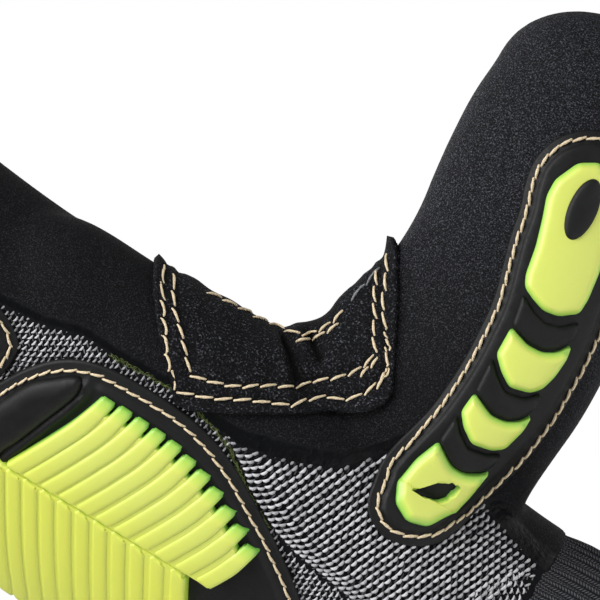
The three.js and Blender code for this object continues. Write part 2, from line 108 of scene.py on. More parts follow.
def applyModifier(piece, kind, **settings):
    takeUp(piece)
    bpy.ops.object.modifier_add(type=kind)
    modifier = piece.modifiers[-1]
    for key, value in settings.items():
        setattr(modifier, key, value)
    bpy.ops.object.modifier_apply(modifier=modifier.name)


def meshPiece(name, points, faces, crease=None):
    # points in millimetres; crease is the angle in degrees above which an edge stays sharp
    mesh = bpy.data.meshes.new(name)
    mesh.from_pydata((np.asarray(points) * mm).tolist(), [], [tuple(face) for face in faces])
    mesh.update()
    piece = bpy.data.objects.new(name, mesh)
    bpy.context.scene.collection.objects.link(piece)
    takeUp(piece)
    bpy.ops.object.shade_smooth()
    if crease is not None:
        bpy.ops.object.shade_smooth_by_angle(angle=math.radians(crease))
    return piece


def normalsOutside(piece):
    takeUp(piece)
    bpy.ops.object.mode_set(mode="EDIT")
    bpy.ops.mesh.select_all(action="SELECT")
    bpy.ops.mesh.normals_make_consistent(inside=False)
    bpy.ops.object.mode_set(mode="OBJECT")


def pointsOf(piece):
    flat = np.empty(len(piece.data.vertices) * 3)
    piece.data.vertices.foreach_get("co", flat)
    return flat.reshape(-1, 3) / mm


def movePoints(piece, points):
    piece.data.vertices.foreach_set("co", (np.asarray(points) * mm).ravel())
    piece.data.update()


def normalsOf(piece):
    flat = np.empty(len(piece.data.vertices) * 3)
    piece.data.vertices.foreach_get("normal", flat)
    return flat.reshape(-1, 3)


def writeAttribute(piece, name, values):
    layer = piece.data.attributes.new(name, "FLOAT", "POINT")
    layer.data.foreach_set("value", np.asarray(values, dtype=np.float32))


def treeOf(piece):
    faces = [tuple(face.vertices) for face in piece.data.polygons]
    return BVHTree.FromPolygons(pointsOf(piece).tolist(), faces)


def unit(vectors):
    return vectors / np.maximum(np.linalg.norm(vectors, axis=-1, keepdims=True), 1e-9)


def smoothStep(x, low, high):
    t = np.clip((np.asarray(x, dtype=float) - low) / (high - low), 0, 1)
    return t * t * (3 - 2 * t)


# Materials

def linear(hexColour):
    # A colour as seen on a screen, turned into the renderer's linear one
    values = [int(hexColour[i:i + 2], 16) / 255 for i in (0, 2, 4)]
    return tuple(v / 12.92 if v <= 0.04045 else ((v + 0.055) / 1.055) ** 2.4 for v in values) + (1.0,)


def grey(value):
    return (value, value, value, 1)


def setInputs(tree, node, inputs):
    # An input is a plain value or another node's output
    for key, value in inputs.items():
        if isinstance(value, bpy.types.NodeSocket):
            tree.links.new(value, node.inputs[key])
        else:
            node.inputs[key].default_value = value


def addNode(tree, kind, inputs=(), output=0, stops=(), **settings):
    # Adds one node and gives one of its outputs; inputs are in the node's order or in a dictionary
    node = tree.nodes.new("ShaderNode" + kind)
    for key, value in settings.items():
        setattr(node, key, value)
    setInputs(tree, node, inputs if isinstance(inputs, dict) else dict(enumerate(inputs)))
    for count, (position, colour) in enumerate(stops):
        elements = node.color_ramp.elements
        if count >= len(elements):
            elements.new(1.0)
        elements[count].position = position
        elements[count].color = linear(colour) if isinstance(colour, str) else grey(colour)
    return node.outputs[output]


def newMaterial(name):
    # A material, and the call that adds a node to it
    material = bpy.data.materials.new(name)
    material.use_nodes = True
    return material, partial(addNode, material.node_tree)


def finish(material, shine, inputs):
    tree = material.node_tree
    setInputs(tree, tree.nodes["Principled BSDF"], {"Specular IOR Level": shine, **inputs})
    return material


def grainIn(add, perMillimetre, detail=2.0):
    # An uneven grain that is fixed to the piece, with so many grains to the millimetre
    place = add("TexCoord", output="Object")
    return add("TexNoise", {"Vector": place, "Scale": perMillimetre / mm, "Detail": detail, "Roughness": 0.6})


coatLook = {
    "raggedness": 0.9,       # how far the dipped edges wander, mm
    "ragged": 0.9,           # grains to the millimetre, here and in the next three
    "grain": 3.3,            # as coarse as shows in the picture, about 0.3 mm
    "clumps": 0.42,
    "lumps": 0.76,
    "dipFade": (-0.2, 0.25),  # depths in mm over which each coat comes in
    "sandFade": (-0.5, 0.6),
    "sand": [(0.38, "040405"), (0.48, "121316"), (0.56, "27282D"), (0.68, "5A5B62")],
    "paintedShadeColour": "040405",
    "firstCoat": [(0.3, "020304"), (0.7, "07080B")],
    "knitUnder": "0F1012",
    "paintedShadeReach": (8, 34),         # mm towards the palm; painted shade makes the coat darker on the fingers' backs and fades out over this span
    "paintedShadeKeep": 0.3,
    "glossy": 0.34,
    "matt": 0.76,
    "cloth": 0.95,
}


def coatMaterial():
    # Seamless knit dipped twice in nitrile: a smooth first coat, and a sandy one that stops short of its edge
    material, add = newMaterial("sandyNitrile")
    wander = coatLook["raggedness"]
    ragged = add("Math", (grainIn(add, coatLook["ragged"]), wander, -wander / 2), operation="MULTIPLY_ADD")
    covers = []
    for name, fade in (("coat", "dipFade"), ("sandy", "sandFade")):
        depth = add("Attribute", output="Fac", attribute_name=name)
        depth = add("Math", (depth, ragged), operation="ADD")
        low, high = coatLook[fade]
        covers.append(add("MapRange", {"Value": depth, "From Min": low, "From Max": high},
                          interpolation_type="SMOOTHSTEP"))
    coated, sandy = covers
    grain = grainIn(add, coatLook["grain"], 3.0)
    clumps = grainIn(add, coatLook["clumps"])
    knit = linear(coatLook["knitUnder"])
    # A mix of colours takes its share at 0 and the colours at 6 and 7, and gives the result at 2
    grit = add("ValToRGB", (grain,), stops=coatLook["sand"])
    share = add("Math", (clumps, 0.35), operation="MULTIPLY")
    grit = add("Mix", {0: share, 6: grit, 7: knit}, 2, data_type="RGBA")
    # painted shade: the sandy coat is painted darker towards the back of the hand and the index side, where
    # less light falls
    towardsPalm = add("SeparateXYZ", (add("TexCoord", output="Object"),), "Y")
    low, high = coatLook["paintedShadeReach"]
    paintedShade = add("MapRange", {"Value": towardsPalm, "From Min": low * mm, "From Max": high * mm,
                            "To Min": coatLook["paintedShadeKeep"]})
    grit = add("Mix", {0: paintedShade, 6: linear(coatLook["paintedShadeColour"]), 7: grit}, 2, data_type="RGBA")
    first = add("ValToRGB", (clumps,), stops=coatLook["firstCoat"])
    coat = add("Mix", {0: sandy, 6: first, 7: grit}, 2, data_type="RGBA")
    colour = add("Mix", {0: coated, 6: knit, 7: coat}, 2, data_type="RGBA")
    glossy, matt, cloth = [grey(coatLook[key]) for key in ("glossy", "matt", "cloth")]
    rough = add("Mix", {0: sandy, 6: glossy, 7: matt}, 2, data_type="RGBA")
    rough = add("Mix", {0: coated, 6: cloth, 7: rough}, 2, data_type="RGBA")
    standing = add("Math", (sandy, 0.9, 0.1), operation="MULTIPLY_ADD")
    standing = add("Math", (grain, standing), operation="MULTIPLY")
    smoothness = add("Math", (sandy, -0.8, 1.0), operation="MULTIPLY_ADD")
    lumps = add("Math", (grainIn(add, coatLook["lumps"]), smoothness), operation="MULTIPLY")
    relief = add("Bump", {"Height": clumps, "Strength": 0.35, "Distance": 0.6 * mm})
    relief = add("Bump", {"Height": lumps, "Strength": 0.5, "Distance": 0.7 * mm, "Normal": relief})
    relief = add("Bump", {"Height": standing, "Strength": 0.75, "Distance": 0.35 * mm, "Normal": relief})
    return finish(material, 0.12, {"Base Color": colour, "Roughness": rough, "Normal": relief})


def fleeceMaterial():
    # Brushed thermal lining inside the knit
    material, add = newMaterial("brushedLining")
    nap = grainIn(add, 1.5, 4.0)
    colour = add("ValToRGB", (nap,), stops=[(0.3, "2A2B2E"), (0.7, "4A4B50")])
    relief = add("Bump", {"Height": nap, "Strength": 0.8, "Distance": 0.6 * mm})
    return finish(material, 0.2, {"Base Color": colour, "Roughness": 0.98, "Normal": relief})


def suedeMaterial():
    # Microfibre suede with a gritty nap, darker where the nap lies the other way, with painted shade in its
    # folds and beside its seams and painted glints on its palest grains
    material, add = newMaterial("microfibreSuede")
    grain = grainIn(add, 2.4, 4.0)
    swept = add("ValToRGB", (grainIn(add, 0.42),), stops=[(0.35, 0.0), (0.65, 1.0)])
    swept = add("Math", (swept, 0.75), operation="MULTIPLY")
    # grain of the nap, partly its own tone; its palest grains are painted glints
    colour = add("ValToRGB", (grain,),
                 stops=[(0.4, "030304"), (0.5, "0E0F12"), (0.58, "222327"), (0.68, "66676E")])
    colour = add("Mix", {0: swept, 6: colour, 7: linear("0C0D0F")}, 2, data_type="RGBA")
    # painted shade: the folds and the lines beside the seams are painted nearly black
    shadow = add("Attribute", output="Fac", attribute_name="crease")
    shadow = add("Math", (shadow, 0.95), operation="MULTIPLY")
    colour = add("Mix", {0: shadow, 6: colour, 7: linear("010101")}, 2, data_type="RGBA")
    relief = add("Bump", {"Height": grainIn(add, 0.9), "Strength": 0.45, "Distance": 0.5 * mm})
    relief = add("Bump", {"Height": grain, "Strength": 0.9, "Distance": 0.4 * mm, "Normal": relief})
    return finish(material, 0.14, {"Base Color": colour, "Roughness": 0.9, "Normal": relief})


def blackRubberMaterial():
    # Injection-moulded black thermoplastic rubber with a matt mould finish
    material, add = newMaterial("blackRubber")
    fine = grainIn(add, 1.8)
    colour = add("ValToRGB", (grainIn(add, 0.26),), stops=[(0.3, "080808"), (0.7, "101112")])
    rough = add("ValToRGB", (fine,), stops=[(0.3, 0.48), (0.7, 0.62)])
    relief = add("Bump", {"Height": fine, "Strength": 0.12, "Distance": 0.1 * mm})
    return finish(material, 0.27, {"Base Color": colour, "Roughness": rough, "Normal": relief})


def limeRubberMaterial():
    # Lime thermoplastic rubber filled into the mould's raised pieces; painted light and shade make the low
    # edges greener and darker and the tops yellower and lighter
    material, add = newMaterial("limeRubber")
    # painted light and shade from the height share: tops painted lighter, low edges darker
    rise = add("Attribute", output="Fac", attribute_name="rise")
    colour = add("ValToRGB", (rise,),
                 stops=[(0.5, "6BB045"), (0.76, "9CCB54"), (0.87, "BFD85E"), (0.97, "D3DD69")])
    towardsThumb = add("SeparateXYZ", (add("TexCoord", output="Object"),), "X")
    yellower = add("MapRange", {"Value": towardsThumb, "From Min": 19 * mm, "From Max": 2 * mm})
    yellower = add("Math", (yellower, 0.45), operation="MULTIPLY")
    colour = add("Mix", {0: yellower, 6: colour, 7: linear("DDE23C")}, 2, data_type="RGBA")
    relief = add("Bump", {"Height": grainIn(add, 1.5), "Strength": 0.08, "Distance": 0.1 * mm})
    return finish(material, 0.5, {
        "Base Color": colour, "Roughness": 0.36, "Normal": relief,
        "Subsurface Weight": 0.12, "Subsurface Radius": (0.6, 1.0, 0.2), "Subsurface Scale": mm})


def threadMaterial(name, pale, dark):
    # Bonded polyester sewing thread
    material, add = newMaterial(name)
    fibre = grainIn(add, 4.2)
    colour = add("ValToRGB", (fibre,), stops=[(0.3, dark), (0.62, pale)])
    relief = add("Bump", {"Height": fibre, "Strength": 0.3, "Distance": 0.08 * mm})
    return finish(material, 0.5, {"Base Color": colour, "Roughness": 0.62, "Normal": relief})


def yarnMaterial(name, pale, dark):
    # Soft multifilament yarn, a little mottled
    material, add = newMaterial(name)
    fibre = grainIn(add, 5.2, 3.0)
    mottled = add("Math", (fibre, 0.8, 0.6), operation="MULTIPLY_ADD")
    # shade: each stroke's own tone at random, with painted shade on the legs behind and beside the guards
    shade = add("Attribute", output="Fac", attribute_name="shade")
    shade = add("Math", (shade, mottled), operation="MULTIPLY")
    colour = add("ValToRGB", (shade,), stops=[(0.15, dark), (0.95, pale)])
    relief = add("Bump", {"Height": fibre, "Strength": 0.5, "Distance": 0.12 * mm})
    return finish(material, 0.35, {"Base Color": colour, "Roughness": 0.7, "Normal": relief})


def cuffMaterial():
    # Elasticated rib knit: columns of V stitches drawn in the piece's own weave coordinates, in mm
    material, add = newMaterial("ribKnit")
    across, along = [add("SeparateXYZ", (add("UVMap", uv_map="weave"),), axis) for axis in "XY"]
    wale = add("Math", (across, 0.5), operation="PINGPONG")
    slant = add("Math", (wale, 1.1, along), operation="MULTIPLY_ADD")
    course = add("Math", (slant, 0.5), operation="PINGPONG")
    leg, row = [
        add("Math", (add("Math", (share, 2 * math.pi), operation="MULTIPLY"),), operation="SINE")
        for share in (wale, course)]
    loop = add("Math", (leg, row), operation="MULTIPLY")
    lit = add("Math", (grainIn(add, 4.2, 3.0), 0.35, loop), operation="MULTIPLY_ADD")
    colour = add("ValToRGB", (lit,), stops=[(0.15, "0E0F11"), (0.5, "2C2D31"), (0.95, "5E5F64")])
    relief = add("Bump", {"Height": loop, "Strength": 0.9, "Distance": 0.6 * mm})
    return finish(material, 0.2, {"Base Color": colour, "Roughness": 0.92, "Normal": relief})


def floorMaterial():
    # Seamless studio paper
    material, add = newMaterial("studioPaper")
    colour = add("ValToRGB", (grainIn(add, 0.04),), stops=[(0.3, "E9E9E8"), (0.7, "EDEDEC")])
    return finish(material, 0.5, {"Base Color": colour, "Roughness": 0.9})


looks = {
    "coat": coatMaterial(),
    "lining": fleeceMaterial(),
    "suede": suedeMaterial(),
    "blackRubber": blackRubberMaterial(),
    "limeRubber": limeRubberMaterial(),
    "thread": threadMaterial("creamThread", "E3D3B4", "B89F78"),
    "greyThread": threadMaterial("greyThread", "7E7F82", "4A4B4E"),
    "hemThread": threadMaterial("hemThread", "3A3B3E", "202124"),
    "yarn": yarnMaterial("cutResistantYarn", "C9C9CD", "101013"),
    "limeYarn": yarnMaterial("limeYarn", "66753A", "14180B"),
    "cuff": cuffMaterial(),
    "floor": floorMaterial(),
}


def dress(piece, look):
    piece.data.materials.append(looks[look])
    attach(piece, "root")
    return piece


# Forms of the hand, in mm. Columns: height, centre, half width, half thickness
palmRows = [
    (0, 0, 43, 30.5), (8, 0, 42, 30), (28, 0, 38.5, 28), (50, 0, 35.5, 26.5), (66, 0, 34.5, 26),
    (82, 0, 37, 25.5), (100, -1, 41.5, 24.5), (120, -2, 45, 23), (142, -3, 46.5, 21.5),
    (162, -3.5, 47.8, 20.3), (176, -4, 49, 19.4), (186, -4, 47, 15.6),
]
# Columns: root x, lean in degrees, fork height, tip height, half width, half thickness, bend to the palm
fingerRows = {
    "index": (30.6, 4, 189, 263, 12.5, 14.3, 11),
    "middle": (6.5, 0, 190, 273, 12.1, 13.8, 13),
    "ring": (-17.5, -4.5, 189, 265, 11.7, 13.4, 14),
    "little": (-39.5, -11, 184, 243, 10.6, 12.2, 12),
}
# Columns: distance out, top and low edge, offset to the back, half thickness low and at the web
thumbRows = [
    (14, 16, -62, 14, 13, 11), (23, 15, -58, 17, 17, 12.5), (30.5, 9, -55.5, 19, 18.5, 12.5),
    (35.5, -0.4, -55, 20.5, 19.2, 11), (42, -5.4, -55.2, 21.5, 19.3, 10.5), (51, -7.0, -55.6, 22.5, 19, 11),
    (61, -8.9, -55, 23.5, 18.4, 12.5), (72, -8.5, -53.4, 24, 17.8, 14.5), (84, -6.6, -50.4, 24, 17.2, 16),
    (96, -5.4, -46.5, 23.5, 16.2, 15.8), (105, -5.8, -42.6, 23, 15, 14.8),
]


def curveThrough(rows, steps, closed=False):
    # Catmull-Rom through the rows, `steps` to each span
    rows = np.asarray(rows, dtype=float)
    if closed:
        padded = np.vstack([rows[-1], rows, rows[0], rows[1]])
        spans = len(rows)
    else:
        padded = np.vstack([2 * rows[0] - rows[1], rows, 2 * rows[-1] - rows[-2]])
        spans = len(rows) - 1
    out = []
    for i in range(1, spans + 1):
        a, b, c, d = padded[i - 1], padded[i], padded[i + 1], padded[i + 2]
        for k in range(steps):
            t = k / steps
            out.append(0.5 * (2 * b + (c - a) * t + (2 * a - 5 * b + 4 * c - d) * t * t
                              + (3 * b - a - 3 * c + d) * t ** 3))
    if not closed:
        out.append(rows[-1])
    return np.array(out)


def ring(centre, across, back, wide, thick, web=None, power=2.0, sides=48):
    angle = np.linspace(0, 2 * np.pi, sides, endpoint=False)
    p = 2 / power
    a = np.sign(np.sin(angle)) * np.abs(np.sin(angle)) ** p
    b = np.sign(np.cos(angle)) * np.abs(np.cos(angle)) ** p
    depth = thick if web is None else thick + (web - thick) * smoothStep(-a, -0.75, 1)
    return centre + np.outer(a * wide, across) + np.outer(b * depth, back)


def loft(name, rings, startPole, endPole):
    # A closed tube through rings of equal count, with a pole at each end
    sides = len(rings[0])
    points = np.vstack(rings + [startPole[None], endPole[None]])
    start, end = len(points) - 2, len(points) - 1
    faces = []
    last = (len(rings) - 1) * sides
    for k in range(sides):
        n = (k + 1) % sides
        faces += [(i * sides + k, i * sides + n, (i + 1) * sides + n, (i + 1) * sides + k)
                  for i in range(len(rings) - 1)]
        faces += [(start, n, k), (end, last + k, last + n)]
    piece = meshPiece(name, points, faces)
    normalsOutside(piece)
    return piece


def capRings(last, along, length, steps=8):
    # Rings that shrink along a quarter circle; last is a function of a scale and a centre shift
    turns = [math.pi / 2 * k / steps for k in range(1, steps)]
    return [last(math.cos(t), along * length * math.sin(t)) for t in turns]


def palmAt(z):
    # Centre, half width and half thickness of the hand's tube at a height
    rows = np.array(palmRows, dtype=float)
    return tuple(np.interp(z, rows[:, 0], rows[:, k]) for k in (1, 2, 3))


def palmRing(x, wide, thick, z, shift=0.0, sides=48):
    # One section of the hand's tube
    centre = np.array([x, 0, z]) + shift
    return ring(centre, towardThumb, towardBack, wide, thick, power=glove["power"], sides=sides)


def palmForm(grow, lowest):
    rows = [row for row in curveThrough(palmRows, 5) if row[0] > lowest]
    rings = [palmRing(x, wide + grow, thick + grow, z) for z, x, wide, thick in rows]
    rings[0][:, 2] = lowest
    z, x, wide, thick = rows[-1]
    length = glove["palmCap"] + grow
    cap = capRings(lambda s, shift: palmRing(x, (wide + grow) * s, (thick + grow) * s, z, shift),
                   upward, length)
    top = np.array([x, 0, z + glove["palmCap"] + grow])
    return loft("palmForm", rings + cap, np.array([0, 0, float(lowest)]), top)


fingerForms = {
    "root": 26,              # a finger's form starts this far inside the hand
    "rings": 26,
    "bendFrom": -6,          # from the fork
    "rounded": 0.95,         # the tip's cap by the half width
    "waist": 0.07,           # narrower at the fork, between these heights from it
    "waistReach": (-8, 14),
    "narrow": 0.06,          # and towards the tip, from this share of the length
    "narrowFrom": 0.55,
    "flatter": 0.1,
}


def fingerForm(name, grow):
    x0, lean, fork, top, wide, thick, bend = fingerRows[name]
    slope = math.tan(math.radians(lean))
    rings = []
    start, end = fork - fingerForms["root"], top - wide * fingerForms["rounded"]
    for z in np.linspace(start, end, fingerForms["rings"]):
        past = np.clip((z - fork - fingerForms["bendFrom"]) / (top - fork), 0, 1)
        fall = 2 * bend * past / (top - fork)
        along = unit(np.array([slope, fall, 1.0]))
        back = unit(np.array([0, -1, fall]))
        across = np.cross(back, along)
        low, high = fingerForms["waistReach"]
        swell = (1 - fingerForms["waist"] * (1 - smoothStep(z, fork + low, fork + high))
                 - fingerForms["narrow"] * smoothStep(past, fingerForms["narrowFrom"], 1))
        centre = np.array([x0 + (z - fork) * slope, bend * past * past, z])
        half, depth = wide * swell + grow, thick * (1 - fingerForms["flatter"] * past) + grow
        rings.append(ring(centre, across, back, half, depth))
    length = wide * fingerForms["rounded"] + grow
    cap = capRings(lambda s, shift: ring(centre + shift, across, back, half * s, depth * s), along, length)
    return loft(name + "Form", rings + cap, rings[0].mean(axis=0), centre + along * length)


def thumbForm(grow):
    rows = curveThrough(thumbRows, 4)
    rings = []
    for i, (out, top, low, side, bone, web) in enumerate(rows):
        before, after = rows[max(i - 1, 0)], rows[min(i + 1, len(rows) - 1)]
        rise = (after[1] + after[2] - before[1] - before[2]) / 2 / (after[0] - before[0])
        rise *= smoothStep(out, *glove["thumbBend"])
        along = unit(outward + upward * rise)
        across = np.cross(along, sideward)
        across *= -np.sign(across[2])
        centre = outward * out + sideward * side + upward * (glove["crotch"] + (top + low) / 2)
        half = (top - low) / 2
        half, bone, web = half + grow, bone + grow, web + grow
        rings.append(ring(centre, across, sideward, half, bone, web=web))
    length = glove["thumbCap"] + grow
    cap = capRings(lambda s, shift: ring(centre + shift, across, sideward, half * s, bone * s, web=web * s),
                   along, length)
    return loft("thumbForm", rings + cap, rings[0].mean(axis=0), centre + along * length)


def handForm(name, grow, voxel, rounds, lowest):
    forms = [palmForm(grow, lowest), thumbForm(grow)] + [fingerForm(finger, grow) for finger in fingerRows]
    form = joinPieces(forms, name)
    form.data.remesh_voxel_size = voxel * mm
    form.data.remesh_voxel_adaptivity = 0
    bpy.ops.object.voxel_remesh()
    applyModifier(form, "SMOOTH", factor=0.5, iterations=rounds)
    bpy.ops.object.shade_smooth()
    return form


print("glove: joining the forms of the hand")
outer = handForm("gloveShell", 0, glove["outerVoxel"], glove["softening"], glove["shellFoot"])
skin = treeOf(outer)

# Where the nitrile coat ends: height above the crotch, and distance out of its edge on the thumb's side
coatEdge = [
    (-73, 22), (-60, 24), (-50, 27), (-45, 30), (-30, 30), (-26.2, 25), (-21.2, 19.1), (-17.6, 17.3),
    (-9.6, 14.3), (-2.6, 12.9), (4, 13.6), (13.3, 15.2), (25.4, 14.8), (33.2, 14.9), (40.9, 12.6),
    (51, 11.6), (60, 12.6), (75, 15.5), (110, 17),
]
ulnarEdge = [(60, -30), (100, -38), (145, -41.5), (175, -41), (192, -44)]  # height, x
coating = {
    "bareTop": 191,          # the bare back ends at this height and this far towards the palm
    "bareSide": 4,
    "stripHalf": 8.9,        # bare knit beside a finger guard, half width on a finger 12 mm in half width
    "fingerHalf": 12,
    "stripFoot": 14,         # it starts this far below the fork
    "stripSide": 3,
    "stripEnd": 19.0,        # it ends this far below the fingertip
    "sandyGapHigh": 1.6,     # smooth first coat that shows beside the sandy one, above the crotch and below
    "sandyGapLow": 3.6,
    "step": 0.45,            # the coat stands this much above the bare ground
    "creases": [  # ends, depth and width of soft creases, in the thumb's plane
        ((97, -12), (90, -16.2), 0.35, 1.1), ((90, -16.2), (81.5, -19.6), 0.3, 1.0),
        ((88, -12), (80, -16), 0.2, 1.6), ((24, 22), (18, 33), 0.25, 2.0), ((30, 40), (20, 30), 0.2, 2.2)],
}


def bareDepth(points):
    # How far a point lies inside the bare knit in mm, negative where it is coated
    x, y, z = points.T
    out = points @ outward
    heights, edges = zip(*coatEdge)
    radial = np.interp(z - glove["crotch"], heights, edges) - out
    heights, edges = zip(*ulnarEdge)
    ulnar = x - np.interp(z, heights, edges)
    depth = np.minimum.reduce([radial, ulnar, coating["bareTop"] - z, coating["bareSide"] - y])
    for finger, (x0, lean, fork, top, wide, thick, bend) in fingerRows.items():
        middle = x0 + (z - fork) * math.tan(math.radians(lean))
        beside = coating["stripHalf"] * wide / coating["fingerHalf"] - np.abs(x - middle)
        above, below = z - fork + coating["stripFoot"], top - coating["stripEnd"] - z
        strip = np.minimum.reduce([beside, below, above, coating["stripSide"] - y])
        if finger == "index":
            strip = np.minimum(strip, radial)
        depth = np.maximum(depth, strip)
    return depth


def sandyDepth(points):
    # How far a point lies inside the sandy coat
    height = points[:, 2] - glove["crotch"]
    low, high = coating["sandyGapLow"], coating["sandyGapHigh"]
    return -bareDepth(points) - (low + (high - low) * smoothStep(height, -8, 8))


# Views that outlines are drawn in, and ways to lay things on the glove

backView = {"u": towardThumb, "v": upward, "eye": towardBack, "origin": np.zeros(3)}
thumbView = {"u": outward, "v": upward, "eye": sideward, "origin": upward * glove["crotch"]}
lensView = dict(thumbView, distance=1000.0, plane=22.0, middle=(42.25, 1.8))  # seen from the photo's lens
palmView = {"u": -outward, "v": upward, "eye": -sideward, "origin": upward * glove["crotch"]}


def under(view, a, b, tree):
    # Points of the glove under places of a view, or the nearest ones past its silhouette
    level = view["eye"] * view.get("plane", 0.0)
    onPlane = view["origin"] + np.outer(a, view["u"]) + np.outer(b, view["v"]) + level
    toward = np.tile(-view["eye"], (len(onPlane), 1))
    if "distance" in view:
        out, height = view["middle"]
        back = view["eye"] * (view["plane"] + view["distance"])
        lens = view["origin"] + view["u"] * out + view["v"] * height + back
        toward = unit(onPlane - lens)
    found = np.empty((len(onPlane), 3))
    for i, (place, way) in enumerate(zip(onPlane, toward)):
        hit = tree.ray_cast(Vector(place - way * 200), Vector(way))[0]
        if hit is None:
            hit = tree.find_nearest(Vector(place - way * 20))[0]
        found[i] = hit
    return found


def layOn(view, a, b, height=0.0, tree=None, reach=1.6):
    # Places of a view laid on the glove at a height, with the surface's direction there
    tree = tree or skin
    a, b = np.asarray(a, dtype=float), np.asarray(b, dtype=float)
    here = under(view, a, b, tree)
    acrossU = under(view, a + reach, b, tree) - under(view, a - reach, b, tree)
    acrossV = under(view, a, b + reach, tree) - under(view, a, b - reach, tree)
    normal = unit(np.cross(acrossU, acrossV))
    normal *= np.where(normal @ view["eye"] < 0, -1, 1)[:, None]
    return here + normal * np.broadcast_to(height, len(a))[:, None], normal


def resample(line, spacing, closed=False):
    # Evenly spaced points along a line
    line = np.asarray(line, dtype=float)
    if closed:
        line = np.vstack([line, line[0]])
    steps = np.linalg.norm(np.diff(line, axis=0), axis=1)
    place = np.concatenate([[0], np.cumsum(steps)])
    count = max(int(round(place[-1] / spacing)), 2)
    at = np.linspace(0, place[-1], count + 1)
    if closed:
        at = np.linspace(0, place[-1], count, endpoint=False)
    return np.stack([np.interp(at, place, line[:, k]) for k in range(line.shape[1])], axis=1)


def roundCorners(corners, radius, steps=5):
    corners = np.asarray(corners, dtype=float)
    points = []
    for i, here in enumerate(corners):
        before, after = corners[i - 1] - here, corners[(i + 1) % len(corners)] - here
        enter = here + before * min(radius / np.linalg.norm(before), 0.45)
        leave = here + after * min(radius / np.linalg.norm(after), 0.45)
        for t in np.linspace(0, 1, steps + 1):
            points.append(enter * (1 - t) ** 2 + here * 2 * t * (1 - t) + leave * t * t)
    return np.array(points)


def segmentDistance(points, start, end):
    start, end = np.array(start), np.array(end)
    run = end - start
    share = np.clip(((points - start) @ run) / (run @ run), 0, 1)
    return np.linalg.norm(points - start - share[:, None] * run, axis=1)


def edgeDistance(points, outline):
    starts, ends = outline, np.roll(outline, -1, axis=0)
    run = ends - starts
    nearest = np.full(len(points), 1e9)
    for start, way in zip(starts, run):
        share = np.clip(((points - start) @ way) / max(way @ way, 1e-12), 0, 1)
        nearest = np.minimum(nearest, np.linalg.norm(points - start - share[:, None] * way, axis=1))
    return nearest


def inThumbPlane(points):
    # Distance out and height above the crotch
    return np.stack([points @ outward, points[:, 2] - glove["crotch"]], axis=1)


def insideOf(points, outline):
    x, y = points.T
    inside = np.zeros(len(points), dtype=bool)
    for (ax, ay), (bx, by) in zip(outline, np.roll(outline, -1, axis=0)):
        crosses = (ay > y) != (by > y)
        inside ^= crosses & (x < (bx - ax) * (y - ay) / (by - ay + 1e-12) + ax)
    return inside


def counterClockwise(outline):
    x, y = np.asarray(outline).T
    area = np.sum(x * np.roll(y, -1) - np.roll(x, -1) * y)
    return outline if area > 0 else outline[::-1]


def insetLine(outline, distance):
    # Points at a distance inside an outline
    way = np.roll(outline, -1, axis=0) - np.roll(outline, 1, axis=0)
    inward = unit(np.stack([-way[:, 1], way[:, 0]], axis=1))
    moved = outline + inward * distance
    return moved[edgeDistance(moved, outline) > distance * 0.97]


def reliefPlate(name, view, outline, profile, spacing=0.9, bottom=-0.5, relief=None, crease=50, level=0.0):
    # A moulded plate on the glove. profile: pairs of distance from the edge and height; relief adds to it.
    # level is the height at which the outline was measured in the view.
    outline = counterClockwise(resample(outline, spacing * 0.7, closed=True))
    distances, heights = zip(*profile)
    layers = [outline] + [insetLine(outline, d) for d in distances if d > 0]
    low, high = outline.min(axis=0), outline.max(axis=0)
    columns, rows = np.arange(low[0], high[0], spacing), np.arange(low[1], high[1], spacing)
    grid = np.stack(np.meshgrid(columns, rows), -1).reshape(-1, 2)
    grid = grid[insideOf(grid, outline)]
    grid = grid[edgeDistance(grid, outline) > distances[-1] + spacing * 0.4]
    flat = np.vstack(layers + [grid])
    ends = len(outline)
    edges = [(i, (i + 1) % ends) for i in range(ends)]
    made = geometry.delaunay_2d_cdt([Vector(p) for p in flat], edges, [], 1, 1e-5)
    flat = np.array([tuple(p) for p in made[0]])
    triangles = [tuple(face) for face in made[2]]
    rise = np.interp(edgeDistance(flat, outline), distances, heights)
    if relief is not None:
        rise = rise + relief(flat)
    if level:
        lean = layOn(view, flat[:, 0], flat[:, 1], reach=4.0)[1]
        flat = flat - level * np.stack([lean @ view["u"], lean @ view["v"]], axis=1)
    top, normal = layOn(view, flat[:, 0], flat[:, 1], rise)
    below = top + normal * (bottom - rise)[:, None]
    count = len(flat)
    faces = list(triangles) + [tuple(v + count for v in reversed(face)) for face in triangles]
    directed = {(face[k], face[(k + 1) % len(face)]) for face in triangles for k in range(len(face))}
    faces += [(j, i, i + count, j + count) for i, j in directed if (j, i) not in directed]
    piece = meshPiece(name, np.vstack([top, below]), faces, crease)
    # the height share also drives the lime's painted light and shade
    share = rise / max(max(heights), 0.01)
    writeAttribute(piece, "rise", np.concatenate([share, share * 0]))
    return piece


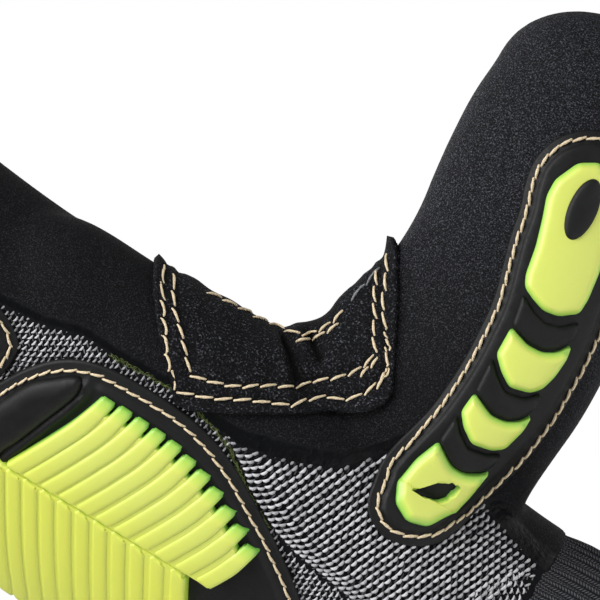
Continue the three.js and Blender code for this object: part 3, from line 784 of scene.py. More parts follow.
def batchTubes(name, paths, ups, radii, sides=6, ply=0.0, twist=0.0):
    # Many small closed tubes in one mesh: paths and ups (tubes, points, 3), radii for each point of a path.
    # ply and twist give the section two strands that wind round each other.
    paths, ups = np.asarray(paths), np.asarray(ups)
    tubes, steps = paths.shape[:2]
    way = unit(np.gradient(paths, axis=1))
    side = unit(np.cross(way, ups))
    lift = np.cross(side, way)
    angle = np.linspace(0, 2 * np.pi, sides, endpoint=False)
    turn = angle[None, :] - twist * np.arange(steps)[:, None]
    swell = np.asarray(radii)[:, None] * (1 + ply * np.cos(2 * turn))
    ringPoints = (paths[:, :, None] + side[:, :, None] * (swell * np.cos(angle))[None, :, :, None]
                  + lift[:, :, None] * (swell * np.sin(angle))[None, :, :, None])
    radius = np.asarray(radii)
    head = paths[:, :1] - way[:, :1] * radius[0] * 0.6
    tail = paths[:, -1:] + way[:, -1:] * radius[-1] * 0.6
    each = steps * sides + 2
    points = np.concatenate([ringPoints.reshape(tubes, -1, 3), head, tail], axis=1).reshape(-1, 3)
    faces, caps = [], []
    for i in range(steps - 1):
        for k in range(sides):
            n = (k + 1) % sides
            faces.append((i * sides + k, i * sides + n, (i + 1) * sides + n, (i + 1) * sides + k))
    for k in range(sides):
        n = (k + 1) % sides
        caps.append((steps * sides, n, k))
        caps.append((steps * sides + 1, (steps - 1) * sides + k, (steps - 1) * sides + n))
    shift = (np.arange(tubes) * each)[:, None, None]
    quads = (np.array(faces)[None] + shift).reshape(-1, 4).tolist()
    ends = (np.array(caps)[None] + shift).reshape(-1, 3).tolist()
    return meshPiece(name, points, quads + ends)


sewing = {
    "guardPitch": 2.6,
    "wander": 0.07,          # mm aside, at random
    "longest": 1.2,          # by the pitch; a stitch that jumps over a gap of the cloth is left out
    "taper": np.array([0.75, 0.95, 1, 1.04, 1.05, 1.04, 1, 0.95, 0.75]),
}


def sewLine(view, line, pitch, height, closed=False, slant=0.34, lift=0.26, dive=0.3, over=0.07, tree=None):
    # Paths of stitches along a line drawn in a view: each starts and ends in the cloth and lies on it between
    line = resample(line, pitch, closed)
    ends = np.roll(line, -1, axis=0) if closed else line[1:]
    starts = line if closed else line[:-1]
    share = np.linspace(-over, 1 + over, len(sewing["taper"]))
    run = ends - starts
    across = unit(np.stack([-run[:, 1], run[:, 0]], axis=1))
    wander = chance.normal(0, sewing["wander"], (len(starts), 1, 1))
    flat = (starts[:, None] + run[:, None] * share[None, :, None]
            + across[:, None] * (slant * (share[None, :, None] - 0.5) + wander))
    arch = np.clip(np.sin(np.pi * np.clip(share, 0, 1)), 0, 1) ** 0.5
    rise = np.tile(height - dive + (dive + lift) * arch, len(starts))
    places, normals = layOn(view, flat[..., 0].ravel(), flat[..., 1].ravel(), rise, tree)
    places, normals = places.reshape(len(flat), -1, 3), normals.reshape(len(flat), -1, 3)
    jumps = np.linalg.norm(np.diff(places, axis=1), axis=2).max(axis=1)
    whole = jumps < sewing["longest"] * pitch
    return places[whole], normals[whole]


def sewRound(view, line, inset, height):
    # A closed row of stitches inside a guard's outline
    return sewLine(view, insetLine(counterClockwise(line), inset), sewing["guardPitch"], height, closed=True)


def sewPiece(name, rows, thick, look="thread"):
    paths = np.concatenate([row[0] for row in rows])
    ups = np.concatenate([row[1] for row in rows])
    piece = batchTubes(name, paths, ups, thick * sewing["taper"], sides=8, ply=0.16, twist=0.75)
    return dress(piece, look)


# Impact guards
# Outlines in mm: the knuckle guard in the back view, the thumb guard in the thumb's plane.
knuckle = {
    "rows": [  # height, ulnar and radial edge
        (98, -9, 9), (103, -18, 16), (112, -26, 23.5), (122, -33, 29.5), (131, -36.5, 33.6),
        (141, -39, 35.6), (152, -40, 35.6), (160, -39, 34.8), (166, -34, 32.4), (170.6, -27, 28),
        (174.3, -18, 21.2), (177.2, -7, 11.5)],
    "pad": [  # x, low and high edge
        (30.8, 161.6, 163.2), (28.4, 161.0, 166.2), (24.5, 162.0, 169.8), (19, 163.8, 172.0),
        (12, 165.8, 174.2), (4, 168.0, 175.2), (-6, 166, 173.2), (-16, 162.6, 169.8), (-25, 159.4, 164.8),
        (-30.5, 157.6, 160)],
    "rimBelow": 1.1,         # a ridge follows the pad's lower edge: height and width
    "ridge": (0.8, 0.8),
    "groove": (0.3, 0.9),    # and under it a groove: depth and width
    "grooveBelow": 1.7,
    "padEdge": [(0, 1.8), (0.1, 2.4), (0.5, 2.9), (1.2, 3.3), (2.4, 3.7)],
    "ribs": 11,
    "ribTop": 155.2,
    "pitch": 3.78,
    "ribHalf": 1.86,
    "endHalf": 1.6,
    "straight": 4.6,         # a rib climbs gently at its end and more steeply to the middle
    "endSlope": 0.25,
    "slope": 0.38,
    "turn": 4.6,
    "inset": 4.3,            # from the guard's edge
    "step": 4.2,             # x where the two fans meet, and how it moves down the guard
    "drift": 0.11,
    "gap": 0.5,
    "dip": 0.7,              # a rib is this much lower at its outer end
    "stitchIn": 1.9,         # stitch line from the edge
    "thread": 0.25,          # radius
    "web": [(0, 0), (0.1, 1.1), (0.5, 1.62)],  # low field of lime between the ribs
}
body = 1.9                   # height of a guard's raised body
sunk = body - 0.4            # a piece on the body starts inside it

# Profiles of edges: pairs of distance inwards and height, those of lime pieces counted from the body
flange = [(0, 0.35), (0.25, 0.85), (0.6, 1.0), (2.9, 1.0), (3.3, 1.25), (3.7, 1.8), (4.1, body)]
limeEdge = [(0, 0), (0.04, 1.3), (0.2, 1.72), (0.5, 1.9), (1.0, 1.98), (1.8, 2.02)]
limeChamfer = [(0, 0), (0.05, 0.75), (0.2, 1.0), (1.1, 1.75), (1.35, 1.88), (1.9, 1.95)]


def onBody(profile):
    return [(inwards, body + height) for inwards, height in profile]


def knuckleOutline():
    rows = knuckle["rows"]
    corners = [(radial, z) for z, ulnar, radial in rows] + [(ulnar, z) for z, ulnar, radial in reversed(rows)]
    return curveThrough(corners, 6, closed=True)


def fanMiddle(height):
    return knuckle["step"] + knuckle["drift"] * (knuckle["ribTop"] - height)


def ribOutline(height, side):
    # The rib's outline in the back view, side 1 for the radial fan and -1 for the ulnar one
    zs = [row[0] for row in knuckle["rows"]]
    edge = np.interp(height, zs, [row[2] if side > 0 else row[1] for row in knuckle["rows"]])
    end = edge - side * knuckle["inset"]
    bend = end - side * knuckle["straight"]
    middle = fanMiddle(height) + side * knuckle["gap"]
    xs = np.linspace(end, middle, 16)
    past = np.maximum((bend - xs) * side, 0)
    turn = knuckle["turn"]
    steeper = knuckle["slope"] - knuckle["endSlope"]
    zs = (height + knuckle["endSlope"] * (end - xs) * side
          + steeper * np.where(past < turn, past ** 2 / (2 * turn), past - turn / 2))
    wider = knuckle["ribHalf"] - knuckle["endHalf"]
    half = knuckle["endHalf"] + wider * smoothStep((end - xs) * side, 0.5, 7)
    upper = np.stack([xs, zs + half], axis=1)
    lower = np.stack([xs, zs - half], axis=1)
    return roundCorners(np.vstack([upper, lower[::-1]]), 0.5, 3)


print("glove: moulding the knuckle guard")
knuckleLine = knuckleOutline()
padLine = curveThrough([(x, low) for x, low, high in knuckle["pad"]]
                       + [(x, high) for x, low, high in reversed(knuckle["pad"])], 5, closed=True)
padRim = np.array([(x, low - knuckle["rimBelow"]) for x, low, high in knuckle["pad"]])[::-1]


def knuckleRelief(flat):
    # A ridge along the pad's lower edge and a groove below it
    off = flat[:, 1] - np.interp(flat[:, 0], padRim[:, 0], padRim[:, 1])
    near = smoothStep(np.abs(flat[:, 0] + 1), 35, 29)
    height, wide = knuckle["ridge"]
    ridge = height * np.exp(-(off / wide) ** 2)
    depth, wide = knuckle["groove"]
    groove = depth * np.exp(-((off + knuckle["grooveBelow"]) / wide) ** 2)
    return near * (ridge - groove)


knuckleBase = dress(reliefPlate("knuckleBase", backView, knuckleLine, flange, 0.62, relief=knuckleRelief),
                    "blackRubber")
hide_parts("knuckle_guard_base")
knucklePad = dress(reliefPlate("knucklePad", backView, padLine, knuckle["padEdge"], 0.7), "blackRubber")
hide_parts("knuckle_guard_pad")
fans = (("radial", 1, 0.0), ("ulnar", -1, knuckle["pitch"] / 2))  # side and how much lower its ribs start
ribs, ribLines = [], {}
for sideName, side, offset in fans:
    heights = [knuckle["ribTop"] - offset - i * knuckle["pitch"] for i in range(knuckle["ribs"])]
    ribLines[side] = [ribOutline(height, side) for height in heights]
    for line in ribLines[side]:
        tip = np.max(line[:, 0] * side)
        ribs.append(reliefPlate(
            f"{sideName}Rib", backView, line, onBody(limeEdge), 0.7, bottom=sunk,
            relief=lambda flat: -knuckle["dip"] * (1 - smoothStep(tip - flat[:, 0] * side, 0.3, 3.4))))
for side, lines in ribLines.items():
    tips = [line[np.argmax(line[:, 0] * side)] - np.array([side * 2.4, 0]) for line in lines]
    top, foot = lines[0][:, 1].max() - 0.6, lines[-1][:, 1].max() - 3.2
    seam = [fanMiddle(z) + side * knuckle["gap"] * 0.2 for z in (knuckle["ribTop"] - 40, knuckle["ribTop"])]
    field = [(seam[0], foot), (seam[1], top)] + [tuple(tip) for tip in tips]
    ribs.append(reliefPlate("ribField", backView, field, onBody(knuckle["web"]), 1.2, bottom=body - 0.3))
knuckleRibs = dress(joinPieces(ribs, "knuckleRibs"), "limeRubber")
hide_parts(*[f"knuckle_guard_{side}_rib_{i + 1}" for side in ("radial", "ulnar")
                           for i in range(knuckle["ribs"])])
sewPiece("knuckleStitches", [sewRound(backView, knuckleLine, knuckle["stitchIn"], 1.0)], knuckle["thread"])

print("glove: moulding the thumb guard")
thumbGuard = {
    "left": [  # edge towards the crotch: distance out, height above the crotch
        (14, -31.5), (17, -29), (21.2, -28.1), (24.3, -27.5), (28.2, -27.8), (34, -29), (39.5, -29.9),
        (48.2, -30.2), (56, -29.6), (62.2, -28.7), (69, -26.6), (73.6, -25.2), (78.8, -24), (82.8, -22.5),
        (87.5, -21.5), (92.3, -22.3), (96.1, -24.7), (98.8, -28), (99.8, -32)],
    "right": [
        (98.6, -37), (95, -41.2), (89, -44.6), (82.8, -46.9), (76, -48.6), (70.1, -50), (65.3, -50.9),
        (58, -51.6), (50, -51.9), (44, -51.6), (36.6, -50.6), (28.2, -48.7), (21.3, -47), (17, -44.8),
        (14, -41), (12.6, -36)],
    "limes": [
        [(95, -33), (92.7, -29.4), (87.7, -27.3), (84.2, -27.5), (80.2, -29.1), (74.8, -30.9), (69.2, -32.1),
         (67, -33.3), (65.9, -35.9), (65.1, -38.8), (65.7, -41.9), (68.3, -45.2), (71.6, -45.2), (77, -44.3),
         (84, -42), (89.4, -39.4), (93.2, -36.6)],
        [(59.3, -35.1), (58, -39.8), (58.3, -43.1), (59.8, -45.5), (62.6, -47.2), (59.6, -47.9),
         (55.6, -47.7), (52.4, -46.9), (50.4, -45.2), (49.2, -41.1), (51, -38), (53.4, -35.4)],
        [(44.9, -35.8), (42.8, -41.1), (43.2, -44.2), (44.8, -46.6), (47.2, -48), (43.6, -48.1),
         (38.7, -46.9), (37, -44.8), (36, -40.7), (38, -37.6), (40.5, -35.5)],
        [(33.2, -35.1), (30.4, -40.1), (30.6, -42.8), (32.2, -45.6), (33.8, -46.9), (27.4, -46),
         (22.6, -44.8), (18.6, -42), (17.4, -38), (19.2, -34.4), (22.4, -32.4), (28, -33.2)],
    ],
    "blacks": [  # raised black chevrons that fill the space between the lime pieces
        [(65.9, -33.6), (64.1, -37.2), (63.4, -40.4), (64.4, -43.6), (67.2, -46.4), (63.4, -46.9),
         (60.4, -45.2), (58.8, -42.9), (58.4, -39.7), (59.6, -35.0)],
        [(52.5, -35.0), (49.9, -38), (48.1, -41), (49.1, -45), (51.7, -47.3), (48.0, -47.7), (45.4, -46.3),
         (43.7, -44.0), (43.2, -41.0), (45.2, -35.7)],
        [(39.7, -35.1), (36.9, -37.6), (35, -40.6), (35.9, -44.7), (37.7, -47), (34.6, -46.7), (32.8, -45.3),
         (31.1, -42.6), (30.8, -40.0), (33.5, -35.0)],
    ],
    "leaf": [(21.6, -35.2), (25, -36.8), (27.4, -39.6), (28.9, -43.2), (25.6, -42.6), (23.2, -40.6),
             (22, -38)],
    "pill": (85.6, -35.0, 6.3, 2.95, 8),  # centre out and height, half axes, turn in degrees
    "flange": [(0, 0.35), (0.25, 0.85), (0.6, 1.0), (2.5, 1.0), (2.8, 1.2), (3.2, 1.75), (3.6, body)],
    "blackEdge": [(0, -0.2), (0.05, 0.6), (0.4, 1.2), (0.9, 1.4)],
    "leafEdge": [(0, 0.1), (0.4, 0.3)],
    "leafDepth": 1.9,
    "pillEdge": [(0, 1.6), (0.05, 2.0), (0.35, 2.4), (0.9, 2.65), (1.8, 2.75)],
    # heights above the skin at which the outlines were measured
    "levels": {"base": 0.9, "black": 2.6, "lime": 2.7, "pill": 4.1},
    "stitchIn": 1.75,
    "thread": 0.27,
}
levels = thumbGuard["levels"]


def ellipse(out, height, long, short, turn):
    angle = np.linspace(0, 2 * np.pi, 40, endpoint=False)
    c, s = math.cos(math.radians(turn)), math.sin(math.radians(turn))
    x, y = long * np.cos(angle), short * np.sin(angle)
    return np.stack([out + x * c - y * s, height + x * s + y * c], axis=1)


thumbLine = curveThrough(thumbGuard["left"] + thumbGuard["right"], 4, closed=True)
thumbBase = reliefPlate("thumbBase", thumbView, thumbLine, thumbGuard["flange"], 0.8, level=levels["base"])
dress(thumbBase, "blackRubber")
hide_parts("thumb_guard_base")
thumbBlacks = [
    reliefPlate("chevron", lensView, roundCorners(outline, 0.7, 3), onBody(thumbGuard["blackEdge"]), 0.6,
                bottom=sunk, level=levels["black"]) for outline in thumbGuard["blacks"]]
leafLine = roundCorners(thumbGuard["leaf"], 0.9, 3)


def leafRelief(flat):
    # The leaf-shaped hole in the lowest lime piece goes down to the black base
    down = thumbGuard["leafDepth"] * smoothStep(edgeDistance(flat, leafLine), 0.0, 0.35)
    return np.where(insideOf(flat, leafLine), -down, 0.0)


for i, outline in enumerate(thumbGuard["limes"]):
    line = roundCorners(outline, 0.9, 3)
    relief = leafRelief if i == 3 else None
    lime = reliefPlate(f"thumbLime{4 - i}", lensView, line, onBody(limeChamfer), 0.6, bottom=sunk,
                       relief=relief, level=levels["lime"])
    dress(lime, "limeRubber")
    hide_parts(f"thumb_guard_lime_{4 - i}")
thumbLeaf = reliefPlate("leaf", lensView, leafLine, onBody(thumbGuard["leafEdge"]), 0.6, bottom=sunk,
                        level=levels["lime"])
dress(joinPieces(thumbBlacks + [thumbLeaf], "thumbChevrons"), "blackRubber")
pill = reliefPlate("thumbPill", lensView, ellipse(*thumbGuard["pill"]), onBody(thumbGuard["pillEdge"]), 0.6,
                   bottom=body + 1.2, level=levels["pill"])
thumbPill = dress(pill, "blackRubber")
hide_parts("thumb_guard_pill")
thumbSeam = sewRound(thumbView, thumbLine, thumbGuard["stitchIn"], 1.0)
sewPiece("thumbStitches", [thumbSeam], thumbGuard["thread"])

print("glove: moulding the finger guards")
fingerGuard = {
    "stitchIn": 1.3,
    "thread": 0.25,
    "start": -12.0,          # from the fork
    "end": 22.0,             # from the fingertip
    "half": 7.6,             # half width on a finger 12.1 mm in half width
    "fingerHalf": 12.1,
    "indexDrop": 1.8,        # the index finger's guard starts lower,
    "indexShift": 4.7,       # nearer the middle of the hand,
    "indexReach": 36,        # and has come into its finger's line after this length
    "shape": [(0, 0.42), (0.03, 0.7), (0.08, 0.9), (0.16, 1), (0.4, 0.98), (0.65, 0.92), (0.86, 0.86),
              (0.94, 0.7), (1, 0.36)],
    "limes": [(0.1, 0.34), (0.42, 0.64), (0.72, 0.92)],
    "sag": 2.0,
    "edge": 2.8,
    "flange": [(0, 0.35), (0.25, 0.8), (0.5, 0.9), (1.9, 0.9), (2.2, 1.2), (2.5, 1.5), (2.8, 1.6)],
    "lime": [(0, 1.6), (0.05, 2.3), (0.3, 2.8), (0.7, 3.1), (1.2, 3.2)],
}
fingerLines = {}


def rootShift(finger, z):
    # The index finger's guard starts nearer the middle of the hand and bends into its finger's line
    start = fingerRows["index"][2] + fingerGuard["start"] - fingerGuard["indexDrop"]
    if finger != "index":
        return 0 * z
    return -fingerGuard["indexShift"] * (1 - smoothStep(z, start, start + fingerGuard["indexReach"]))


fingerSeams = []
for finger, (x0, lean, fork, top, wide, thick, bend) in fingerRows.items():
    slope = math.tan(math.radians(lean))
    start, end = fork + fingerGuard["start"], top - fingerGuard["end"]
    if finger == "index":
        start -= fingerGuard["indexDrop"]
    half = fingerGuard["half"] * wide / fingerGuard["fingerHalf"]
    right = [(share, half * w) for share, w in fingerGuard["shape"]]
    corners = ([(share, w) for share, w in right] + [(share, -w) for share, w in reversed(right)])
    corners = [(x0 + (start + (end - start) * share - fork) * slope + w, start + (end - start) * share)
               for share, w in corners]
    line = counterClockwise(curveThrough([(x + rootShift(finger, z), z) for x, z in corners], 5, closed=True))
    fingerLines[finger] = line
    base = dress(reliefPlate(f"{finger}Base", backView, line, fingerGuard["flange"], 0.8), "blackRubber")
    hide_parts(f"{finger}_guard_base")
    limes = []
    for low, high in fingerGuard["limes"]:
        span = np.linspace(-1, 1, 9)
        limeHalf = half - fingerGuard["edge"]
        edges = []
        for share, order in ((low, span), (high, span[::-1])):
            z = start + (end - start) * share - fingerGuard["sag"] * (1 - order ** 2)
            x = x0 + (z - fork) * slope + rootShift(finger, z) + order * limeHalf
            edges.append(np.stack([x, z], axis=1))
        limeLine = roundCorners(np.vstack(edges), 0.8, 3)
        limes.append(reliefPlate("lime", backView, limeLine, fingerGuard["lime"], 0.7, bottom=1.2))
    limePiece = dress(joinPieces(limes, f"{finger}Limes"), "limeRubber")
    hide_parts(*[f"{finger}_guard_lime_{i + 1}" for i in range(3)])
    fingerSeams.append(sewRound(backView, line, fingerGuard["stitchIn"], 0.95))
sewPiece("fingerStitches", fingerSeams, fingerGuard["thread"])

# Crotch patch
print("glove: folding the patch over the crotch")
patch = {
    "outline": [  # distance out, height above the crotch
        (34.8, 32.5), (27.6, 25.4), (19.6, 19.6), (14.6, 15.0), (13.4, 12), (13.8, 8.6), (17.2, 1.8),
        (22.9, -8.3), (28.3, -16.2), (32.0, -21.3), (35, -22.7), (38, -22.3), (44.9, -18.7), (52.3, -14.4),
        (61.3, -9.7), (62.3, -7.4), (65, -3), (66, 4), (42, 38)],
    "high": 1.75,            # outer face above the glove
    "thick": 1.25,
    "pitch": 3.5,
    "thread": 0.25,          # radius
    "sewing": {"slant": 0.5, "lift": 0.2, "dive": 0.5, "over": 0.02},
    "seams": 6,              # the first rows pull the patch down
    "palmRows": (2.0, 4.2),  # two rows inside the outline on the palm's side
    "runGap": 1.5,           # a row breaks at a longer step
    "runPoints": 14,         # and a run with fewer points has no stitches
    "rows": [
        [(34.5, 27.2), (32.3, 26.7), (26.8, 22.9), (23.9, 20.3), (20.2, 17.6), (17.3, 15.3), (15.5, 13.1)],
        [(34.0, 24.7), (31.6, 23.6), (28.6, 21.5), (25.9, 18.5), (22.7, 15.3), (19.5, 12.2)],
        [(19.3, 12.0), (19.9, 9.0), (21.1, 5.3), (22.8, 1.8), (25.0, -0.9), (26.7, -4.1), (27.2, -5.6),
         (29.5, -7.5), (32.8, -11.3), (35.2, -13.7), (36.5, -14.7), (38.8, -15.5), (40.9, -15.9)],
        [(15.4, 12.6), (16.4, 9.6), (17.9, 5.7), (20.2, 1.6), (21.7, -1.1), (23.2, -4.7), (24.3, -7.4),
         (26.6, -8.9), (28.6, -11.1), (30.1, -12.8), (30.6, -15.4), (32.4, -17.2), (34.5, -18.7),
         (37.4, -19.1), (39.8, -19.2), (41.7, -18.7), (43.3, -17.3)],
        [(41.3, -15.8), (44.7, -13.0), (46.6, -12.4), (48.9, -10.6), (52.5, -8.7), (55.2, -7.5)],
        [(43.4, -17.8), (46.0, -15.1), (49.0, -12.6), (52.4, -10.8), (57.4, -8.4), (58.8, -7.6)],
        [(34.3, 17.8), (34.6, 14.8), (34.8, 10.8), (35.4, 4.9), (35.6, 2.3), (36.0, -0.1), (37.2, -2.9),
         (39.8, -5.0), (42.7, -5.9), (45.0, -6.4)],
        [(33.1, 0.8), (35.2, -1.4), (36.8, -3.9), (39.5, -5.6), (42.4, -7.0)],
        [(36, -15.3), (38.8, -16.2), (40.9, -16.6)],
        [(35.6, -19.2), (38.4, -19.6), (41.2, -19.1)],
    ],
    "greyThread": 0.24,
    "greyRow": [(47.3, -6.4), (51.1, -7.2), (55.5, -7.9)],
    "folds": [((33.2, 0.0), (27.6, -7.0), 1.15), ((36.9, -4.4), (34.0, -7.8), 0.8)],  # ends and width
    "bulges": [((35.2, -2.6), (31.0, -6.6)), ((31.8, 1.4), (27.2, -3.6))],
    "corners": [((35, 31.5), 1.4), ((62, -7.0), 2.9)],  # place and height of a corner that turns up
    "seamDepth": 0.42,
    "seamWidth": 0.75,
    "pillow": 0.25,          # fuller between the seams
    "foldDepth": 1.2,
    "bulge": 0.8,
    "bulgeWidth": 1.3,
    "cornerWidth": 2.2,
    "waves": 0.14,
}


def bell(place, start, end, wide):
    # 1 on a line from start to end, falling to 0 at about twice the width
    return np.exp(-(segmentDistance(place, start, end) / wide) ** 2)


def patchRise(points, normals):
    # How far the patch's face stands off: seams pull it down, folds crease it, its corners turn up
    place = inThumbPlane(points)
    rise = np.full(len(points), patch["high"])
    nearSeam = np.full(len(points), 1e9)
    for row in patch["rows"][:patch["seams"]]:
        for start, end in zip(row, row[1:]):
            nearSeam = np.minimum(nearSeam, segmentDistance(place, start, end))
    rise -= patch["seamDepth"] * np.exp(-(nearSeam / patch["seamWidth"]) ** 2)
    rise += patch["pillow"] * smoothStep(nearSeam, 1.0, 4.0)
    for start, end, wide in patch["folds"]:
        rise -= patch["foldDepth"] * bell(place, start, end, wide)
    for start, end in patch["bulges"]:
        rise += patch["bulge"] * bell(place, start, end, patch["bulgeWidth"])
    front = smoothStep(normals @ sideward, -0.5, 0.2)
    for corner, lift in patch["corners"]:
        rise += lift * front * np.exp(-(np.linalg.norm(place - corner, axis=1) / patch["cornerWidth"]) ** 2)
    out, height = place.T
    waves = np.sin(out * 0.9 + height * 0.35) + np.sin(out * 0.31 - height * 0.77 + 1.3)
    return rise + patch["waves"] * waves


def paintedFoldShade(points):
    # Painted shade for the suede: 1 in the folds of the patch, less beside its seams, 0 elsewhere
    place = inThumbPlane(points)
    front = smoothStep(points @ sideward, 2, 8)
    depth = np.zeros(len(points))
    for start, end, wide in patch["folds"]:
        depth = np.maximum(depth, bell(place, start, end, wide * 1.15))
    for row in patch["rows"]:
        for start, end in zip(row, row[1:]):
            depth = np.maximum(depth, 0.6 * bell(place, start, end, 0.5))
    return depth * front


def makePatch():
    # The glove's own skin cut to the outline, moved off it and given a thickness later
    piece = outer.copy()
    piece.data = outer.data.copy()
    bpy.context.scene.collection.objects.link(piece)
    piece.name = piece.data.name = "crotchPatch"
    takeUp(piece)
    outline = counterClockwise(roundCorners(patch["outline"], 1.2, 2))
    bpy.ops.object.mode_set(mode="EDIT")
    middle = outline.mean(axis=0)
    for start, end in zip(outline, np.roll(outline, -1, axis=0)):
        way = end - start
        if np.linalg.norm(way) < 0.05:
            continue
        outside = np.array([way[1], -way[0]])
        if outside @ (middle - start) > 0:
            continue
        place = outward * start[0] + upward * (start[1] + glove["crotch"])
        normal = unit(outward * outside[0] + upward * outside[1])
        bpy.ops.mesh.select_all(action="SELECT")
        bpy.ops.mesh.bisect(plane_co=tuple(place * mm), plane_no=tuple(normal), clear_outer=True)
    bpy.ops.mesh.select_all(action="SELECT")
    bpy.ops.mesh.remove_doubles(threshold=0.00005)
    bpy.ops.mesh.subdivide(number_cuts=1, smoothness=0)
    bpy.ops.object.mode_set(mode="OBJECT")
    points, normals = pointsOf(piece), normalsOf(piece)
    movePoints(piece, points + normals * patchRise(points, normals)[:, None])
    # the painted shade of the folds, for the suede's colour
    writeAttribute(piece, "crease", paintedFoldShade(points))
    return piece


patchPiece = makePatch()
patchSkin = treeOf(patchPiece)
applyModifier(patchPiece, "SOLIDIFY", thickness=patch["thick"] * mm, offset=-1.0)
dress(patchPiece, "suede")
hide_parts("thumb_crotch_patch")
patchRows = [sewLine(thumbView, row, patch["pitch"], 0.1, tree=patchSkin, **patch["sewing"])
             for row in patch["rows"]]

# The palm's rows follow the outline where the patch shows from that side, and leave out its loose ends
for inset in patch["palmRows"]:
    line = insetLine(counterClockwise(resample(patch["outline"], 0.5, closed=True)), inset)
    line = np.array([p for p in line if p[0] < 60 and p[1] < 30 and not (p[1] > -4 and p[0] > 24)])
    breaks = np.linalg.norm(np.roll(line, -1, axis=0) - line, axis=1)
    line = np.roll(line, -1 - np.argmax(breaks), axis=0) * np.array([-1, 1])
    steps = np.linalg.norm(np.diff(line, axis=0), axis=1)
    for run in np.split(line, np.nonzero(steps > patch["runGap"])[0] + 1):
        if len(run) > patch["runPoints"]:
            patchRows.append(sewLine(palmView, run, patch["pitch"], 0.1, tree=patchSkin, **patch["sewing"]))
sewPiece("patchStitches", patchRows, patch["thread"])
greyLine = sewLine(thumbView, patch["greyRow"], patch["pitch"], 0.0, tree=patchSkin)
sewPiece("patchStitchesGrey", [greyLine], patch["greyThread"], "greyThread")

# The hollow body
print("glove: hollowing the hand")
points, normals = pointsOf(outer), normalsOf(outer)
bare = bareDepth(points)
lift = coating["step"] * smoothStep(-bare, -0.6, 0.9)
for start, end, deep, wide in coating["creases"]:
    lift -= deep * bell(inThumbPlane(points), start, end, wide)
movePoints(outer, points + normals * lift[:, None])
inner = handForm("handHollow", -glove["wall"], glove["innerVoxel"], glove["innerSoftening"],
                 glove["hollowFoot"])
hollowTree = treeOf(inner)
applyModifier(outer, "BOOLEAN", operation="DIFFERENCE", object=inner, solver="EXACT")
bpy.data.objects.remove(inner)
points = pointsOf(outer)
writeAttribute(outer, "coat", -bareDepth(points))
writeAttribute(outer, "sandy", sandyDepth(points))
dress(outer, "coat")
outer.data.materials.append(looks["lining"])
for face in outer.data.polygons:  # faces on the hollow's form are the lining
    if hollowTree.find_nearest(face.center / mm)[3] < 0.3:
        face.material_index = 1
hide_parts("coated_palm", "hand_back_knit", "thumb", "index_finger", "middle_finger", "ring_finger",
            "little_finger")

# Knitted loops on the bare back
print("glove: knitting the bare back")
knit = {
    "course": 1.06,          # strokes follow each other up the hand
    "wale": 1.42,            # and stand side by side round it
    "thumbCourse": 1.45,     # columns along the thumb
    "thumbWale": 1.36,
    "thumbFoot": -50.0,      # the seam turns along the columns here
    "columnWay": (0.918, -0.393),
    "firstWay": (0.53, -0.848),  # the columns leave the seam this way
    "columnTurn": (1.2, 5.0),    # and turn between these distances from it
    "columnLength": 60,
    # behindShade is the painted shade of the legs behind
    "handStroke": {"length": 1.36, "width": 0.21, "tilt": 14, "bulge": 0.42, "spread": 0.5, "behindShade": 0.42},
    "thumbStroke": {"length": 1.5, "width": 0.32, "tilt": -5, "bulge": 0.62, "spread": 0.7, "behindShade": 0.25},
    "taper": np.array([0.45, 0.9, 1.1, 1.0, 0.55]),
    "sink": 0.45,            # under the coat's edge
    "wander": 0.07,
    "foot": 69.5,            # just above the cuff's top
    "top": 188.5,            # the fingers' rows go on from here, and on the short finger from its fork
    "hidden": 0.8,           # loops end this far under a guard's edge
}
yarnLine = [  # seam between the hand's and the thumb's knitting, in the thumb's plane
    (14.5, 26.3), (14.9, 20.5), (15.2, 13.3), (14.4, 8.1), (13.4, 4.0), (12.5, 0.7), (11.3, -2.1),
    (9.2, -5.3), (7.1, -7.8), (5.0, -11.4), (2.8, -16), (1, -22), (0, -29), (-1, -38), (-1, -50)]
backLines = [knuckleLine] + list(fingerLines.values())


def underGuards(places, view, lines, inset):
    # Which places lie further than inset inside an outline of a view
    hidden = np.zeros(len(places), dtype=bool)
    flat = np.stack([places @ view["u"], (places - view["origin"]) @ view["v"]], axis=1)
    for line in lines:
        hidden |= insideOf(flat, line) & (edgeDistance(flat, line) > inset)
    return hidden


def guardDistance(places):
    # How far a place lies from the edge of the nearest guard on the hand's back
    flat = np.stack([places[:, 0], places[:, 2]], axis=1)
    return np.minimum.reduce([edgeDistance(flat, line) for line in backLines])


def strokes(places, along, normals, length, tilt, bulge):
    # One visible leg of each loop, as a path that rises from the ground and sinks again
    across = np.cross(along, normals)
    share = np.linspace(-0.5, 0.5, 5)
    lean = math.tan(math.radians(tilt))
    lift = -0.15 + bulge * np.cos(np.pi * share * 0.96)
    bow = 0.1 * length * (0.25 - share ** 2) * 4
    paths = (places[:, None] + along[:, None] * (share * length)[None, :, None]
             + across[:, None] * (share * length * lean + bow)[None, :, None]
             + normals[:, None] * lift[None, :, None])
    return paths, np.repeat(normals[:, None], 5, axis=1)


def knitLayer(places, normals, along, length, width, tilt, bulge, light):
    # Strokes with a brightness each; they sink where the coat begins and darken there, and beside a guard
    # they are painted darker as painted shade
    depth = bareDepth(places)
    guard = guardDistance(places)
    sink = knit["sink"] * (1 - smoothStep(depth, -0.1, 0.9))
    places = places - normals * sink[:, None] + chance.normal(0, knit["wander"], places.shape)
    along = unit(along - normals * np.sum(along * normals, axis=1)[:, None])
    along = unit(along + np.cross(along, normals) * chance.normal(0, knit["wander"], len(places))[:, None])
    paths, ups = strokes(places, along, normals, length, tilt, bulge)
    layer = batchTubes("layer", paths, ups, width * knit["taper"], sides=5)
    shade = light * chance.uniform(0.62, 1.0, len(places))
    # darker near the coat's edge, and painted shade beside the raised guards
    shade *= 0.55 + 0.45 * smoothStep(np.minimum(depth, guard), 0.1, 1.6)
    writeAttribute(layer, "shade", np.repeat(shade, len(layer.data.vertices) // len(places)))
    return layer


